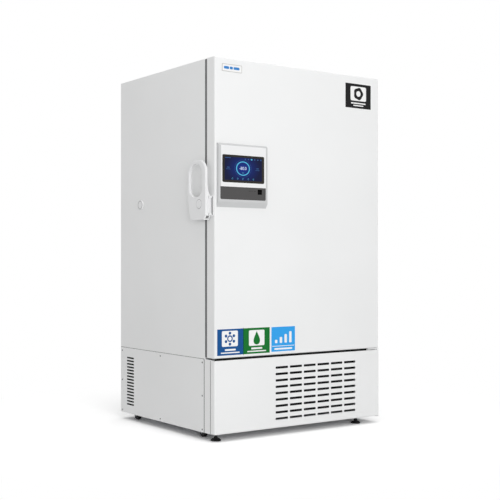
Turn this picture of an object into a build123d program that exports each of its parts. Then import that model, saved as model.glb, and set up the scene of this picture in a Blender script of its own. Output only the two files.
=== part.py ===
from build123d import *
import math
import os

# Upright ultra low temperature freezer: a foamed cabinet on a machine compartment, one outer
# door hinged on the right with a lever handle on its left side, and two foamed inner doors.
# Millimetres. +X is to the right seen from the front, the door faces -Y, +Z is up and z = 0 is
# the floor. The origin is the middle of the whole outline on the floor.

# Overall sizes
WIDTH = 1140.0
DEPTH = 1008.0
HEIGHT = 1985.0
FLOOR_GAP = 40.0
BASE_HEIGHT = 384.0
SHEET = 1.5
BEND = 2.5

# Reach of what stands out past the cabinet
HANDLE_REACH = 38.0
LOCK_CAP_PROUD = 2.0
DISPLAY_REACH = 18.0
HINGE_OUT = 11.0
KNUCKLE_R = 9.0

# Outer door
DOOR_THICKNESS = 72.0
DOOR_GAP = 8.0
DOOR_SETBACK = 6.0
DOOR_EDGE_R = 7.0
GASKET_GAP = 20.0
GASKET_CLEAR = 0.4
GASKET_INSET = 6.0
GASKET_WIDTH = 44.0
GASKET_BULB = 28.0
GASKET_BASE = 6.0
DOOR_LINER = 3.0
PLUG_INSET = 74.0
PLUG_PROUD = 12.0
HINGE_FROM_GASKET = 10.0

# Foamed cabinet
SIDE_WALL = 130.0
TOP_WALL = 120.0
FLOOR_WALL = 120.0
REAR_WALL = 130.0
LINER = 1.2
FLANGE = 30.0
BREAKER = 3.0
MOUTH_STEP = 25.0
MOUTH_DEPTH = 58.0
CHAMBER_R = 25.0
VACUUM_PANEL = 30.0
VACUUM_FROM_SKIN = 20.0
VACUUM_MARGIN = 40.0
COIL_LEVELS = 3
COIL_R = 5.0
COIL_MARGIN = 90.0
COIL_CLEAR = 0.3
TUBE_SIDES = 6

# Inner doors and shelves
INNER_DOOR = 38.0
INNER_SEAL = 5.0
INNER_SEAL_WIDTH = 14.0
INNER_SEAL_INSET = 6.0
INNER_SIDE_GAP = 5.0
INNER_END_GAP = 8.0
INNER_MIDDLE_GAP = 6.0
INNER_AXIS_IN = 14.0
INNER_AXIS_BACK = 10.0
INNER_EDGE_R = 5.0
INNER_PULL = (14.0, 120.0, 12.0)
INNER_PIN_R = 3.0
INNER_PIN_DEPTH = 12.0
INNER_EAR = 4.0
INNER_EAR_GAP = 2.0
INNER_EAR_HALF = 7.5
DIVIDER_HEIGHT = 44.0
DIVIDER_DEPTH = 25.0
SHELF_COUNT = 3
SHELF = 1.2
SHELF_LIP = 22.0
SHELF_FRONT_GAP = 30.0
SHELF_REAR_GAP = 8.0
RAIL = (12.0, 24.0)
RAIL_INSET = 90.0
RAIL_END_GAP = 10.0
RAIL_SIDE_GAP = 2.0
CLIP = (20.0, 16.0, 8.0)

# Display module on the outer door
DISPLAY_X = 12.0
DISPLAY_WIDTH = 313.0
DISPLAY_BOTTOM = 1212.0
DISPLAY_HEIGHT = 329.0
DISPLAY_CHIN = 27.0
DISPLAY_BROW = 11.0
DISPLAY_EDGE_R = 4.0
SCREEN_INSET = 23.0
SCREEN_SIZE = (267.0, 143.0)
SCREEN_BOTTOM = 1340.0
SCREEN_DEPTH = 3.0
STRIP_INSET = 11.0
STRIP_SIZE = (289.0, 66.0)
STRIP_BOTTOM = 1252.0
STRIP_DEPTH = 2.0
DISPLAY_CORNER_R = 8.0
GLASS_SINK = 0.8

# Lever handle on the outer door's left side
LEVER_FRONT = 29.0
LEVER_LENGTH = 174.0
LEVER_BOTTOM = 1146.0
LEVER_HEIGHT = 310.0
LEVER_THICKNESS = 15.0
LEVER_CORNER_R = 62.0
LEVER_ROUND = 5.0
LEVER_BEVEL = 3.0
LEVER_TAPER = 24.0
LEVER_TAPER_HEIGHT = 130.0
GRIP_FRONT = 35.0
GRIP_REAR = 20.0
GRIP_TOP = 19.0
GRIP_HEIGHT = 170.0
GRIP_CORNER_R = 50.0
BODY_DEPTH = 8.0
BODY_INSET = 6.0
WEB = 11.0
WEB_HEIGHT = 100.0
WEB_CURVE = 52.0
WEB_INSET = 1.0
WEB_ARC = 73.0
PIVOT_OUT = 10.0
PIVOT_BARREL_R = 6.0
PIVOT_PIN_R = 3.0
PIVOT_EAR = 12.0
PIVOT_EAR_R = 7.0
PIVOT_POCKET_R = 9.0
BASE_PLATE = 3.0
BASE_PLATE_FRONT = 8.0
BASE_PLATE_WIDTH = 52.0
BASE_PLATE_MARGIN = 4.0
EYE_SLOPE = (18.0, 26.0)
EYE_WALL = 4.0
EYE_HOLE = (18.0, 18.0)
EYE_CAVITY = 16.0
EYE_BORDER = 3.0
PIVOT_LOW = 23.0
PIVOT_SPAN = 99.0
LOCK_Y = 91.0
LOCK_Z = 1229.0
LOCK_CAP_R = 22.5
LOCK_CAP = 4.0
LOCK_CAP_GAP = 0.5
LOCK_CAP_BEVEL = 1.0
LOCK_R = 10.0
CAM = (14.0, 24.0, 3.0)
CAM_FROM_SIDE = 4.0
KEEPER_Y = 108.0
KEEPER_SIZE = (34.0, 68.0)
KEEPER_PLATE = 2.0
KEEPER_LIP = (24.0, 20.0, 3.5)
KEEPER_STAND = 13.0

# Outer door hinges
HINGE_PIN_R = 5.0
HINGE_LEAF = 4.0
UPPER_HINGE = 190.0
LOWER_LEAF = 120.0
LOWER_KNUCKLE = 16.0
LEAF_DEPTH = 60.0
LOWER_PLATE = 6.0
LOWER_PLATE_WIDTH = 85.0
LOWER_PLATE_FRONT = 4.0
KNUCKLE_GAP = 0.5
STRAP_RUN = 27.0
STRAP_TANGENT = 6.3

# Service panel over the machine compartment
PANEL_HEIGHT = 380.0
PANEL_DEPTH = 38.0
PANEL_CORNER_R = 10.0
PANEL_EDGE = 3.0
PANEL_AXIS_IN = 9.0
PANEL_AXIS_BACK = 10.0
PANEL_PIN_R = 3.0
PANEL_PIN_UP = 14.0
PANEL_EAR = 3.5
PANEL_EAR_WIDTH = 19.0
PANEL_EAR_FRONT = 1.0
PANEL_EAR_RISE = 16.0
GRILLE_COLUMNS = 6
GRILLE_ROWS = 9
GRILLE_SLOT = (84.0, 12.5, 2.5)
GRILLE_PITCH = (96.4, 34.25)
GRILLE_RIGHT = 183.0
GRILLE_BOTTOM = 82.3

# Machine compartment case
FRAME_FRONT = 40.0
FRAME_DEPTH = 59.0
FRAME_SHEET = 2.0
FRAME_SIDE = 40.0
FRAME_TOP = 30.0
FRAME_BOTTOM = 35.0
VENT_SLOTS = 16
VENT_SLOT = (85.0, 9.5, 2.5)
VENT_PITCH = 18.1
VENT_REAR = 73.0
VENT_BOTTOM = 89.0
REAR_INSET = 3.0
REAR_VENTS = (3, 8)
REAR_VENT_SLOT = (150.0, 10.0)
REAR_VENT_PITCH = (175.0, 24.0)
REAR_VENT_LEFT = 110.0
REAR_VENT_BOTTOM = 120.0
TRAY = 3.0
POST = (35.0, 2.5)

# Casters and levelling feet
CASTER_HEIGHT = 75.0
CASTER_PLATE = (90.0, 70.0, 4.0)
CASTER_X = 60.0
CASTER_FROM_END = (176.0, 122.0)
CASTER_TRAIL = 20.0
WHEEL_R = 27.0
WHEEL_WIDTH = 24.0
WHEEL_BEVEL = 3.0
AXLE_R = 4.0
FORK = 3.0
FORK_SIDE_GAP = 1.5
FORK_FOOT = (20.0, 9.0)
FORK_SLOPE = 4.0
KINGPIN_R = 6.0
RACE_R = 21.0
FOOT_PAD_R = 27.0
FOOT_PAD = 12.0
FOOT_STEM_R = 7.0
FOOT_NUT = (12.0, 10.0)
FOOT_BOSS = (14.0, 15.0)
FOOT_FROM_SIDE = (46.0, 129.0)
FOOT_Y = 59.0

# Running clearance of a pin or shaft in its hole, on the radius
RUNNING = 0.05
SEATED = 0.02

# Refrigeration
CONDENSER_WIDTH = 607.0
CONDENSER_FROM_RIGHT = 465.0
CONDENSER_DEPTH = 38.0
CONDENSER_HEIGHT = 316.0
CONDENSER_Y = 112.0
FIN_COUNT = 38
FIN = 1.0
HEADER = 6.0
BEND_ROWS = 4
BEND_SHARE = 0.45
SHROUD = 2.0
ORIFICE_R = 131.0
COLLAR = 16.0
FAN_HUB_R = 34.0
FAN_DEPTH = 26.0
FAN_BLADES = 5
BLADE = 2.4
BLADE_ROOT = 4.0
BLADE_CHORD = (48.0, 88.0)
BLADE_PITCH = 24.0
BLADE_CAMBER = 6.0
BLADE_REACH = 118.0
BLADE_CORNER = 14.0
FAN_GAP = 12.0
MOTOR_GAP = 3.0
MOTOR_R = 42.0
MOTOR_LENGTH = 66.0
MOTOR_BEVEL = 6.0
MOTOR_SHAFT_R = 5.0
STRAP = (26.0, 3.0)
STRAP_REACH = 150.0
FILTER = (620.0, 318.0, 10.0)
FILTER_Y = 44.0
COMPRESSOR_Y = 560.0
COMPRESSOR_FROM_SIDE = (260.0, 330.0)
COMPRESSOR_R = 92.0
COMPRESSOR_HEIGHT = 246.0
COMPRESSOR_FOOT = (230.0, 190.0, 4.0)
COMPRESSOR_FOOT_R = 20.0
COMPRESSOR_DOME = 50.0
TERMINAL_BOX = (60.0, 22.0, 70.0)
TERMINAL_UP = 70.0
DOME_STEP = 0.3
GROMMET = (12.0, 18.0)
GROMMET_SPREAD = (90.0, 70.0)
STUB_R = 8.0
STUB_OUT = 45.0
STUB_HEIGHT = 24.0
LINE_R = 6.0
LINE_BEND = 24.0
SEPARATOR_R = 38.0
SEPARATOR_HEIGHT = 210.0
SEPARATOR_PORTS = 30.0
EXCHANGER_FROM_CAN = 115.0
EXCHANGER_Y = 760.0
EXCHANGER = (180.0, 130.0, 250.0)
EXCHANGER_R = 14.0
DRIER_R = 22.0
DRIER_LENGTH = 120.0
DRIER_Y = 670.0
DRIER_Z = 330.0
CONTROL_BOX = (240.0, 170.0, 200.0)
CONTROL_BOX_RIGHT = 70.0
CONTROL_LID = 2.0
CONTROL_LIP = 8.0

# Power inlet with switch, in the lower rear panel
INLET_RIGHT = 190.0
INLET_Z = 350.0
INLET_BODY = (52.0, 28.0, 34.0)
INLET_SOCKET = (26.0, 20.0, 18.0)
INLET_BLADE = (1.8, 6.0, 14.0)
INLET_BLADE_PLACES = ((-6.0, -3.0), (6.0, -3.0), (0.0, 4.0))
ROCKER = (13.0, 20.0, 12.0)
ROCKER_X = 15.0
ROCKER_PIN_R = 2.0
ROCKER_PIN = 2.0
ROCKER_GAP = 0.5
ROCKER_DEPTH = 4.0
ROCKER_RIDGE = (2.0, 3.5, 5.0)
ROCKER_CUT = 3.0
SOCKET_X = -11.0

# Access port in the left wall
PORT_FROM_BACK = 245.0
PORT_Z = 1254.0
PORT_R = 13.0
PORT_WALL = 3.0
PORT_DUCT = 36.0
PORT_CAP = (26.5, 8.0)
PORT_PLUG_LENGTH = 42.0
PORT_PLUG_CLEAR = 0.4

# Places worked out from the sizes
HINGE_REACH = HINGE_OUT + KNUCKLE_R
LEFT_REACH = HANDLE_REACH + LOCK_CAP_PROUD
LEFT = (LEFT_REACH - HINGE_REACH - WIDTH) / 2
RIGHT = LEFT + WIDTH
FRONT = (DISPLAY_REACH - DEPTH) / 2
BACK = FRONT + DEPTH
REAR_COVER = BACK - REAR_INSET - SHEET
BASE_TOP = FLOOR_GAP + BASE_HEIGHT
DOOR_BOTTOM = BASE_TOP + DOOR_GAP
DOOR_RIGHT = RIGHT - DOOR_SETBACK
DOOR_BACK = FRONT + DOOR_THICKNESS
CASE_FRONT = DOOR_BACK + GASKET_GAP
CHAMBER_X = (LEFT + SIDE_WALL, RIGHT - SIDE_WALL)
CHAMBER_Z = (BASE_TOP + FLOOR_WALL, HEIGHT - TOP_WALL)
CHAMBER_BACK = BACK - REAR_WALL
STEP_Y = CASE_FRONT + MOUTH_DEPTH
MOUTH_X = (CHAMBER_X[0] - MOUTH_STEP, CHAMBER_X[1] + MOUTH_STEP)
MOUTH_Z = (CHAMBER_Z[0] - MOUTH_STEP, CHAMBER_Z[1] + MOUTH_STEP)
MIDDLE_Z = (CHAMBER_Z[0] + CHAMBER_Z[1]) / 2
INNER_BACK = STEP_Y - INNER_SEAL
INNER_FRONT = INNER_BACK - INNER_DOOR
INNER_AXIS = (MOUTH_X[1] - INNER_AXIS_IN, INNER_FRONT + INNER_AXIS_BACK)
HINGE_AXIS = (RIGHT + HINGE_OUT, DOOR_BACK + HINGE_FROM_GASKET)
PIVOT = (LEFT - PIVOT_OUT, FRONT + LEVER_FRONT)
PANEL_AXIS = (RIGHT - PANEL_AXIS_IN, FRONT + PANEL_AXIS_BACK)
FRAME_Y = (FRONT + FRAME_FRONT, FRONT + FRAME_FRONT + FRAME_DEPTH)
TRAY_TOP = CASTER_HEIGHT + TRAY
CONDENSER_X = RIGHT - CONDENSER_FROM_RIGHT
SHROUD_Y = FRONT + CONDENSER_Y + CONDENSER_DEPTH
FAN_Z = TRAY_TOP + CONDENSER_HEIGHT / 2
FAN_Y = SHROUD_Y + FAN_GAP
FOOT_X = (LEFT + FOOT_FROM_SIDE[0], RIGHT - FOOT_FROM_SIDE[1])
CASTER_Y = (FRONT + CASTER_FROM_END[0], BACK - CASTER_FROM_END[1])
COMPRESSOR_X = (LEFT + COMPRESSOR_FROM_SIDE[0], RIGHT - COMPRESSOR_FROM_SIDE[1])
SEPARATOR_X = (COMPRESSOR_X[0] + COMPRESSOR_X[1]) / 2
EXCHANGER_X = SEPARATOR_X - EXCHANGER_FROM_CAN
INLET_CENTRE = (RIGHT - INLET_RIGHT, INLET_Z)
PORT_CENTRE = (BACK - PORT_FROM_BACK, PORT_Z)


def block(x, y, z):
    """A box between pairs of low and high places."""
    middle = Pos((x[0] + x[1]) / 2, (y[0] + y[1]) / 2, (z[0] + z[1]) / 2)
    return middle * Box(x[1] - x[0], y[1] - y[0], z[1] - z[0])


def grown(span, amount):
    """A pair of places moved apart by an amount at each end."""
    return (span[0] - amount, span[1] + amount)


def around(middle, half):
    """The places at both sides of a middle."""
    return (middle - half, middle + half)


def rod(start, end, radius):
    """A round bar from one point to another."""
    way = Vector(*end) - Vector(*start)
    return Solid.make_cylinder(radius, way.length, Plane(origin=start, z_dir=way))


def from_front(sketch, y0, y1):
    """A sketch drawn in X and Z, made solid from y0 back to y1."""
    return extrude(Plane((0, y1, 0), x_dir=(1, 0, 0), z_dir=(0, -1, 0)) * sketch, amount=y1 - y0)


def from_left(sketch, x0, x1):
    """A sketch drawn in Y and Z, made solid from x0 to x1."""
    return extrude(Plane((x0, 0, 0), x_dir=(0, 1, 0), z_dir=(1, 0, 0)) * sketch, amount=x1 - x0)


def from_below(sketch, z0, z1):
    """A sketch drawn in X and Y, made solid from z0 up to z1."""
    return extrude(Pos(0, 0, z0) * sketch, amount=z1 - z0)


def area(x, y):
    """A rectangle between pairs of low and high places."""
    return Pos((x[0] + x[1]) / 2, (y[0] + y[1]) / 2) * Rectangle(x[1] - x[0], y[1] - y[0])


def outline(*points):
    """A closed straight-sided face through the points."""
    return make_face(Polyline(*points, close=True))


def rounded_front(x, y, z, radius):
    """A box whose four front edges are rounded, as on a folded door pan."""
    body = block(x, y, z)
    return fillet(body.faces().sort_by(Axis.Y)[0].edges(), radius)


def window(outer_x, outer_z, inner_x, inner_z, y0, y1):
    """A rectangular ring lying in the XZ plane."""
    return from_front(area(outer_x, outer_z) - area(inner_x, inner_z), y0, y1)


def along(path, section):
    """A section carried along a path from its start."""
    return sweep(Plane(origin=path @ 0, z_dir=path % 0) * section, path=path)


def tube_section(radius):
    """A six-sided section for thin tubes that lie out of sight, within their round size."""
    return RegularPolygon(radius, TUBE_SIDES)


def punched_slot(length, height, corner):
    """An air slot as punched, with its corners cut off."""
    return chamfer(Rectangle(length, height).vertices(), corner)


def domed(shell, rise):
    """A shell whose top is closed by a pressed dome, in three cone bands."""
    shell = chamfer(shell.edges().sort_by(Axis.Z)[-1], rise)
    rims = shell.edges().filter_by(GeomType.CIRCLE).sort_by(Axis.Z)[-2:]
    return chamfer(rims, rise * DOME_STEP)


def mirrored(shape):
    """The shape's copy on the other side of the cabinet."""
    return mirror(shape, Plane(((LEFT + RIGHT) / 2, 0, 0), z_dir=(1, 0, 0)))


# Outer case


def left_side_panel():
    """A sheet with its front edge folded in behind the gasket."""
    z = (BASE_TOP, HEIGHT)
    sheet = block((LEFT, LEFT + SHEET), (CASE_FRONT, BACK), z)
    fold = block((LEFT, LEFT + FLANGE), (CASE_FRONT, CASE_FRONT + SHEET), z)
    body = sheet + fold
    corner = body.edges().filter_by(Axis.Z).sort_by(lambda e: e.center().X + e.center().Y)[0]
    return fillet(corner, BEND)


def end_panel(z_out, z_in, z_fold):
    """The roof or floor sheet of the foamed case, between the side sheets."""
    z = (min(z_out, z_in), max(z_out, z_in))
    sheet = block((LEFT + SHEET, RIGHT - SHEET), (CASE_FRONT + SHEET, BACK), z)
    fold_z = (min(z_out, z_fold), max(z_out, z_fold))
    fold = block((LEFT + FLANGE, RIGHT - FLANGE), (CASE_FRONT, CASE_FRONT + SHEET), fold_z)
    return sheet + fold


def top_panel():
    """The roof sheet."""
    return end_panel(HEIGHT, HEIGHT - SHEET, HEIGHT - FLANGE)


def bottom_panel():
    """The floor sheet of the foamed case, over the machine compartment."""
    return end_panel(BASE_TOP, BASE_TOP + SHEET, BASE_TOP + FLANGE)


def rear_panel():
    """The back sheet, set in between the side sheets."""
    z = (BASE_TOP + SHEET, HEIGHT - SHEET)
    return block((LEFT + SHEET, RIGHT - SHEET), (BACK - SHEET, BACK), z)


# Foamed walls


def vacuum_panels():
    """Flat evacuated boards buried in the foam of the side, top, bottom and rear walls."""
    side_y = (STEP_Y + VACUUM_MARGIN, PORT_CENTRE[0] - 2 * VACUUM_MARGIN)
    full_y = (STEP_Y + VACUUM_MARGIN, CHAMBER_BACK - VACUUM_MARGIN)
    z = grown(CHAMBER_Z, -VACUUM_MARGIN)
    x = grown(CHAMBER_X, -VACUUM_MARGIN)
    near, far = VACUUM_FROM_SKIN, VACUUM_FROM_SKIN + VACUUM_PANEL
    return [
        block((LEFT + near, LEFT + far), side_y, z),
        block((RIGHT - far, RIGHT - near), full_y, z),
        block(x, (BACK - far, BACK - near), z),
        block(x, full_y, (HEIGHT - far, HEIGHT - near)),
        block(x, full_y, (BASE_TOP + near, BASE_TOP + far)),
    ]


def coil_levels():
    """The heights of the evaporator's turns round the liner."""
    low, high = grown(CHAMBER_Z, -COIL_MARGIN)
    return [low + i * (high - low) / (COIL_LEVELS - 1) for i in range(COIL_LEVELS)]


COIL_OUT = LINER + COIL_R + COIL_CLEAR / 2


def coil_places():
    """The left, right, front and rear lines that the evaporator tube follows."""
    left, right = grown(CHAMBER_X, COIL_OUT)
    return left, right, STEP_Y + COIL_MARGIN, CHAMBER_BACK + COIL_OUT


def coil_path():
    """The line of the tube, back and forth round the sides and rear of the liner."""
    left, right, front, rear = coil_places()
    points = []
    for i, z in enumerate(coil_levels()):
        turn = [(left, front, z), (left, rear, z), (right, rear, z), (right, front, z)]
        points += turn if i % 2 == 0 else turn[::-1]
    return FilletPolyline(*points, radius=CHAMBER_R + COIL_OUT)


def evaporator_coil():
    """One tube wound back and forth round the liner."""
    return along(coil_path(), tube_section(COIL_R))


def coil_groove():
    """The square channel that the foam leaves round the evaporator tube."""
    width = 2 * (COIL_R + COIL_CLEAR)
    return along(coil_path(), Rectangle(width, width))


def mouth(clear, y0, y1):
    """The space of the cabinet mouth, in front of the chamber."""
    return block(grown(MOUTH_X, clear), (y0, y1), grown(MOUTH_Z, clear))


def chamber(clear, y0, rear):
    """The space of the storage chamber, with its upright rear corners rounded."""
    body = block(grown(CHAMBER_X, clear), (y0, rear), grown(CHAMBER_Z, clear))
    rear_edges = body.faces().sort_by(Axis.Y)[-1].edges().filter_by(Axis.Z)
    return fillet(rear_edges, CHAMBER_R + clear)


def round_port(x, y, z):
    """A side wall in four blocks, which leave a square hole for the port's sleeve."""
    _, hole_y, hole_z = port_duct(x)
    return [
        block(x, (y[0], hole_y[0]), z),
        block(x, (hole_y[1], y[1]), z),
        block(x, hole_y, (z[0], hole_z[0])),
        block(x, hole_y, (hole_z[1], z[1])),
    ]


def foam_blocks():
    """The walls' spaces: round the mouth, round the chamber, and behind it with its two corners."""
    x, z = grown((LEFT, RIGHT), -SHEET), grown((BASE_TOP, HEIGHT), -SHEET)
    chamber_x, chamber_z = grown(CHAMBER_X, LINER), grown(CHAMBER_Z, LINER)
    step, rear, back = STEP_Y + LINER, CHAMBER_BACK + LINER, BACK - SHEET
    bend = rear - LINER - CHAMBER_R
    rings = (
        (grown(MOUTH_X, BREAKER), grown(MOUTH_Z, BREAKER), CASE_FRONT + BREAKER, step, step),
        (chamber_x, chamber_z, step, bend, back),
    )
    blocks = []
    for hole_x, hole_z, y0, side_end, end in rings:
        blocks += [block(x, (y0, end), (z[0], hole_z[0])), block(x, (y0, end), (hole_z[1], z[1]))]
        left, right = (x[0], hole_x[0]), (hole_x[1], x[1])
        blocks.append(block(right, (y0, side_end), hole_z))
        if y0 == step:
            blocks += round_port(left, (y0, side_end), hole_z)
        else:
            blocks.append(block(left, (y0, side_end), hole_z))
    middle = grown(chamber_x, bend - rear)
    blocks.append(block(middle, (rear, back), chamber_z))
    for corner_x in ((x[0], middle[0]), (middle[1], x[1])):
        blocks.append(block(corner_x, (bend, back), chamber_z))
    return blocks


def cabinet_insulation():
    """The foam between the outer case and the liner, drawn wall by wall."""
    space = chamber(LINER, STEP_Y, CHAMBER_BACK + LINER)
    cuts = [space, coil_groove()] + vacuum_panels()
    return [wall - cuts for wall in foam_blocks()]


def inner_liner():
    """The steel tub of the chamber with its flange, which the inner doors seal on."""
    tub = chamber(LINER, STEP_Y, CHAMBER_BACK + LINER) - chamber(0, STEP_Y, CHAMBER_BACK)
    flange = mouth(BREAKER, STEP_Y, STEP_Y + LINER) - chamber(0, STEP_Y, CHAMBER_BACK)
    return tub + flange - port_bore(PORT_R + PORT_WALL)


def breaker_frame():
    """The plastic frame between the warm case and the cold liner."""
    outer_x = (LEFT + FLANGE, RIGHT - FLANGE)
    outer_z = (BASE_TOP + FLANGE, HEIGHT - FLANGE)
    face = window(outer_x, outer_z, MOUTH_X, MOUTH_Z, CASE_FRONT, CASE_FRONT + BREAKER)
    walls = mouth(BREAKER, CASE_FRONT, STEP_Y) - mouth(0, CASE_FRONT, STEP_Y)
    spacer_x = (LEFT + SHEET, RIGHT - SHEET)
    spacer_z = (BASE_TOP + SHEET, HEIGHT - SHEET)
    spacer = window(spacer_x, spacer_z, outer_x, outer_z, CASE_FRONT + SHEET, CASE_FRONT + BREAKER)
    return face + walls + spacer


def inner_divider():
    """The bar across the mouth, which both inner doors close against."""
    return block(CHAMBER_X, (STEP_Y, STEP_Y + DIVIDER_DEPTH), around(MIDDLE_Z, DIVIDER_HEIGHT / 2))


def port_bore(radius):
    """A round space through the left wall on the access port's axis."""
    return rod((LEFT, *PORT_CENTRE), (CHAMBER_X[0], *PORT_CENTRE), radius)


def port_duct(x):
    """The square part of the port's sleeve, which the foam stands round."""
    return x, around(PORT_CENTRE[0], PORT_DUCT / 2), around(PORT_CENTRE[1], PORT_DUCT / 2)


def port_sleeve():
    """The lining of the access port: a round tube, square outside between sheet and liner."""
    duct = block(*port_duct((LEFT + SHEET, CHAMBER_X[0] - LINER)))
    return duct + port_bore(PORT_R + PORT_WALL) - port_bore(PORT_R)


# Shelves


def shelf_heights():
    """The tops of the shelves, which part the chamber into equal spaces."""
    pitch = (CHAMBER_Z[1] - CHAMBER_Z[0]) / (SHELF_COUNT + 1)
    return [CHAMBER_Z[0] + pitch * (i + 1) for i in range(SHELF_COUNT)]


def shelves():
    """Flat steel shelves with a lip turned down at the front and rear."""
    x = grown(CHAMBER_X, -(RAIL[0] + RAIL_SIDE_GAP))
    y = (STEP_Y + SHELF_FRONT_GAP, CHAMBER_BACK - SHELF_REAR_GAP)
    made = []
    for top in shelf_heights():
        shelf = block(x, y, (top - SHELF, top))
        for lip in ((y[0], y[0] + SHELF), (y[1] - SHELF, y[1])):
            shelf += block(x, lip, (top - SHELF_LIP, top))
        made.append(shelf)
    return made


def shelf_rails():
    """Upright rails on the liner with a clip under each corner of each shelf."""
    z = grown(CHAMBER_Z, -RAIL_END_GAP)
    made = []
    for y in (STEP_Y + RAIL_INSET, CHAMBER_BACK - RAIL_INSET):
        rail_x = (CHAMBER_X[0], CHAMBER_X[0] + RAIL[0])
        made.append(block(rail_x, around(y, RAIL[1] / 2), z))
        for top in shelf_heights():
            clip_z = (top - SHELF - CLIP[2], top - SHELF)
            made.append(block((rail_x[1], rail_x[1] + CLIP[0]), around(y, CLIP[1] / 2), clip_z))
    return made + [mirrored(piece) for piece in made]


# Inner doors


def inner_door_span(upper):
    """The lowest and highest place of an inner door."""
    low, high = grown(MOUTH_Z, -INNER_END_GAP)
    half_gap = INNER_MIDDLE_GAP / 2
    return (MIDDLE_Z + half_gap, high) if upper else (low, MIDDLE_Z - half_gap)


def inner_door(upper):
    """A foamed inner door with a finger pull at its left and its seal on the back."""
    x = grown(MOUTH_X, -INNER_SIDE_GAP)
    z = inner_door_span(upper)
    body = rounded_front(x, (INNER_FRONT, INNER_BACK), z, INNER_EDGE_R)
    middle = (z[0] + z[1]) / 2
    pull_x = (x[0] + INNER_PULL[0], x[0] + 2 * INNER_PULL[0])
    pull_z = around(middle, INNER_PULL[1] / 2)
    body -= block(pull_x, (INNER_FRONT, INNER_FRONT + INNER_PULL[2]), pull_z)
    for end, way in ((z[0], 1), (z[1], -1)):
        body -= rod((*INNER_AXIS, end), (*INNER_AXIS, end + way * (INNER_PIN_DEPTH + 1)),
                    INNER_PIN_R + RUNNING)
    seal_x, seal_z = grown(x, -INNER_SEAL_INSET), grown(z, -INNER_SEAL_INSET)
    seal = window(seal_x, seal_z, grown(seal_x, -INNER_SEAL_WIDTH),
                  grown(seal_z, -INNER_SEAL_WIDTH), INNER_BACK, STEP_Y - GASKET_CLEAR)
    return [body, seal]


def inner_ears():
    """Small plates on the mouth's right wall that hold the inner doors' pins."""
    ears = []
    x = (INNER_AXIS[0] - INNER_EAR_HALF, MOUTH_X[1])
    y = around(INNER_AXIS[1], INNER_EAR_HALF)
    low, high = grown(MOUTH_Z, -INNER_EAR_GAP)
    for z in ((low, low + INNER_EAR), (high - INNER_EAR, high), around(MIDDLE_Z, INNER_EAR / 2)):
        ears.append(block(x, y, z) - inner_pin_hole(*z))
    return ears


def inner_pin_hole(z0, z1):
    """The hole that holds an inner door's pin in its ear."""
    return rod((*INNER_AXIS, z0), (*INNER_AXIS, z1), INNER_PIN_R + SEATED)


def inner_pins():
    """Pivot pins of the inner doors: one below, one above and one shared at the middle."""
    low, high = inner_door_span(False)[0], inner_door_span(True)[1]
    middle_low, middle_high = inner_door_span(False)[1], inner_door_span(True)[0]
    spans = (
        (MOUTH_Z[0] + INNER_EAR_GAP, low + INNER_PIN_DEPTH),
        (high - INNER_PIN_DEPTH, MOUTH_Z[1] - INNER_EAR_GAP),
        (middle_low - INNER_PIN_DEPTH, middle_high + INNER_PIN_DEPTH),
    )
    return [rod((*INNER_AXIS, a), (*INNER_AXIS, b), INNER_PIN_R) for a, b in spans]


# Outer door


DOOR_X = (LEFT, DOOR_RIGHT)
DOOR_Y = (FRONT, DOOR_BACK)
DOOR_Z = (DOOR_BOTTOM, HEIGHT)


def door_inside(clear):
    """The space inside the door pan, to the back of its liner."""
    y = (FRONT + SHEET, DOOR_BACK - clear)
    return rounded_front(grown(DOOR_X, -SHEET), y, grown(DOOR_Z, -SHEET), DOOR_EDGE_R - SHEET)


def door_plug(clear):
    """The raised middle of the door's back."""
    x, z = grown(DOOR_X, -PLUG_INSET - clear), grown(DOOR_Z, -PLUG_INSET - clear)
    body = block(x, (DOOR_BACK - DOOR_LINER, DOOR_BACK + PLUG_PROUD - clear), z)
    return chamfer(body.faces().sort_by(Axis.Y)[-1].edges(), PLUG_PROUD / 2)


def door_skin():
    """The folded steel pan of the outer door."""
    return rounded_front(DOOR_X, DOOR_Y, DOOR_Z, DOOR_EDGE_R) - door_inside(0)


def door_liner():
    """The moulded panel that closes the door's back, with its raised middle."""
    x, z = grown(DOOR_X, -SHEET), grown(DOOR_Z, -SHEET)
    sheet = block(x, (DOOR_BACK - DOOR_LINER, DOOR_BACK), z)
    return sheet + door_plug(0) - door_plug(DOOR_LINER)


def door_insulation():
    """The foam inside the outer door."""
    return door_inside(DOOR_LINER) + door_plug(DOOR_LINER)


def door_gasket():
    """The soft seal round the door's back, a wide foot with a narrower bulb on it."""
    x, z = grown(DOOR_X, -GASKET_INSET), grown(DOOR_Z, -GASKET_INSET)
    foot = window(x, z, grown(x, -GASKET_WIDTH), grown(z, -GASKET_WIDTH),
                  DOOR_BACK, DOOR_BACK + GASKET_BASE)
    margin = (GASKET_WIDTH - GASKET_BULB) / 2
    bulb_x, bulb_z = grown(x, -margin), grown(z, -margin)
    bulb = window(bulb_x, bulb_z, grown(bulb_x, -GASKET_BULB), grown(bulb_z, -GASKET_BULB),
                  DOOR_BACK + GASKET_BASE, CASE_FRONT - GASKET_CLEAR)
    return foot + bulb


# Display module


DISPLAY_SPAN_X = (LEFT + DISPLAY_X, LEFT + DISPLAY_X + DISPLAY_WIDTH)
DISPLAY_FACE = FRONT - DISPLAY_REACH


def screen_space(sink=0.0):
    """The seat of the touch screen, or its glass where that is sunk below the housing's face."""
    x = DISPLAY_SPAN_X[0] + SCREEN_INSET + SCREEN_SIZE[0] / 2
    z = SCREEN_BOTTOM + SCREEN_SIZE[1] / 2
    face = Pos(x, z) * RectangleRounded(*SCREEN_SIZE, DISPLAY_CORNER_R)
    return from_front(face, DISPLAY_FACE + sink, DISPLAY_FACE + SCREEN_DEPTH)


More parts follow.
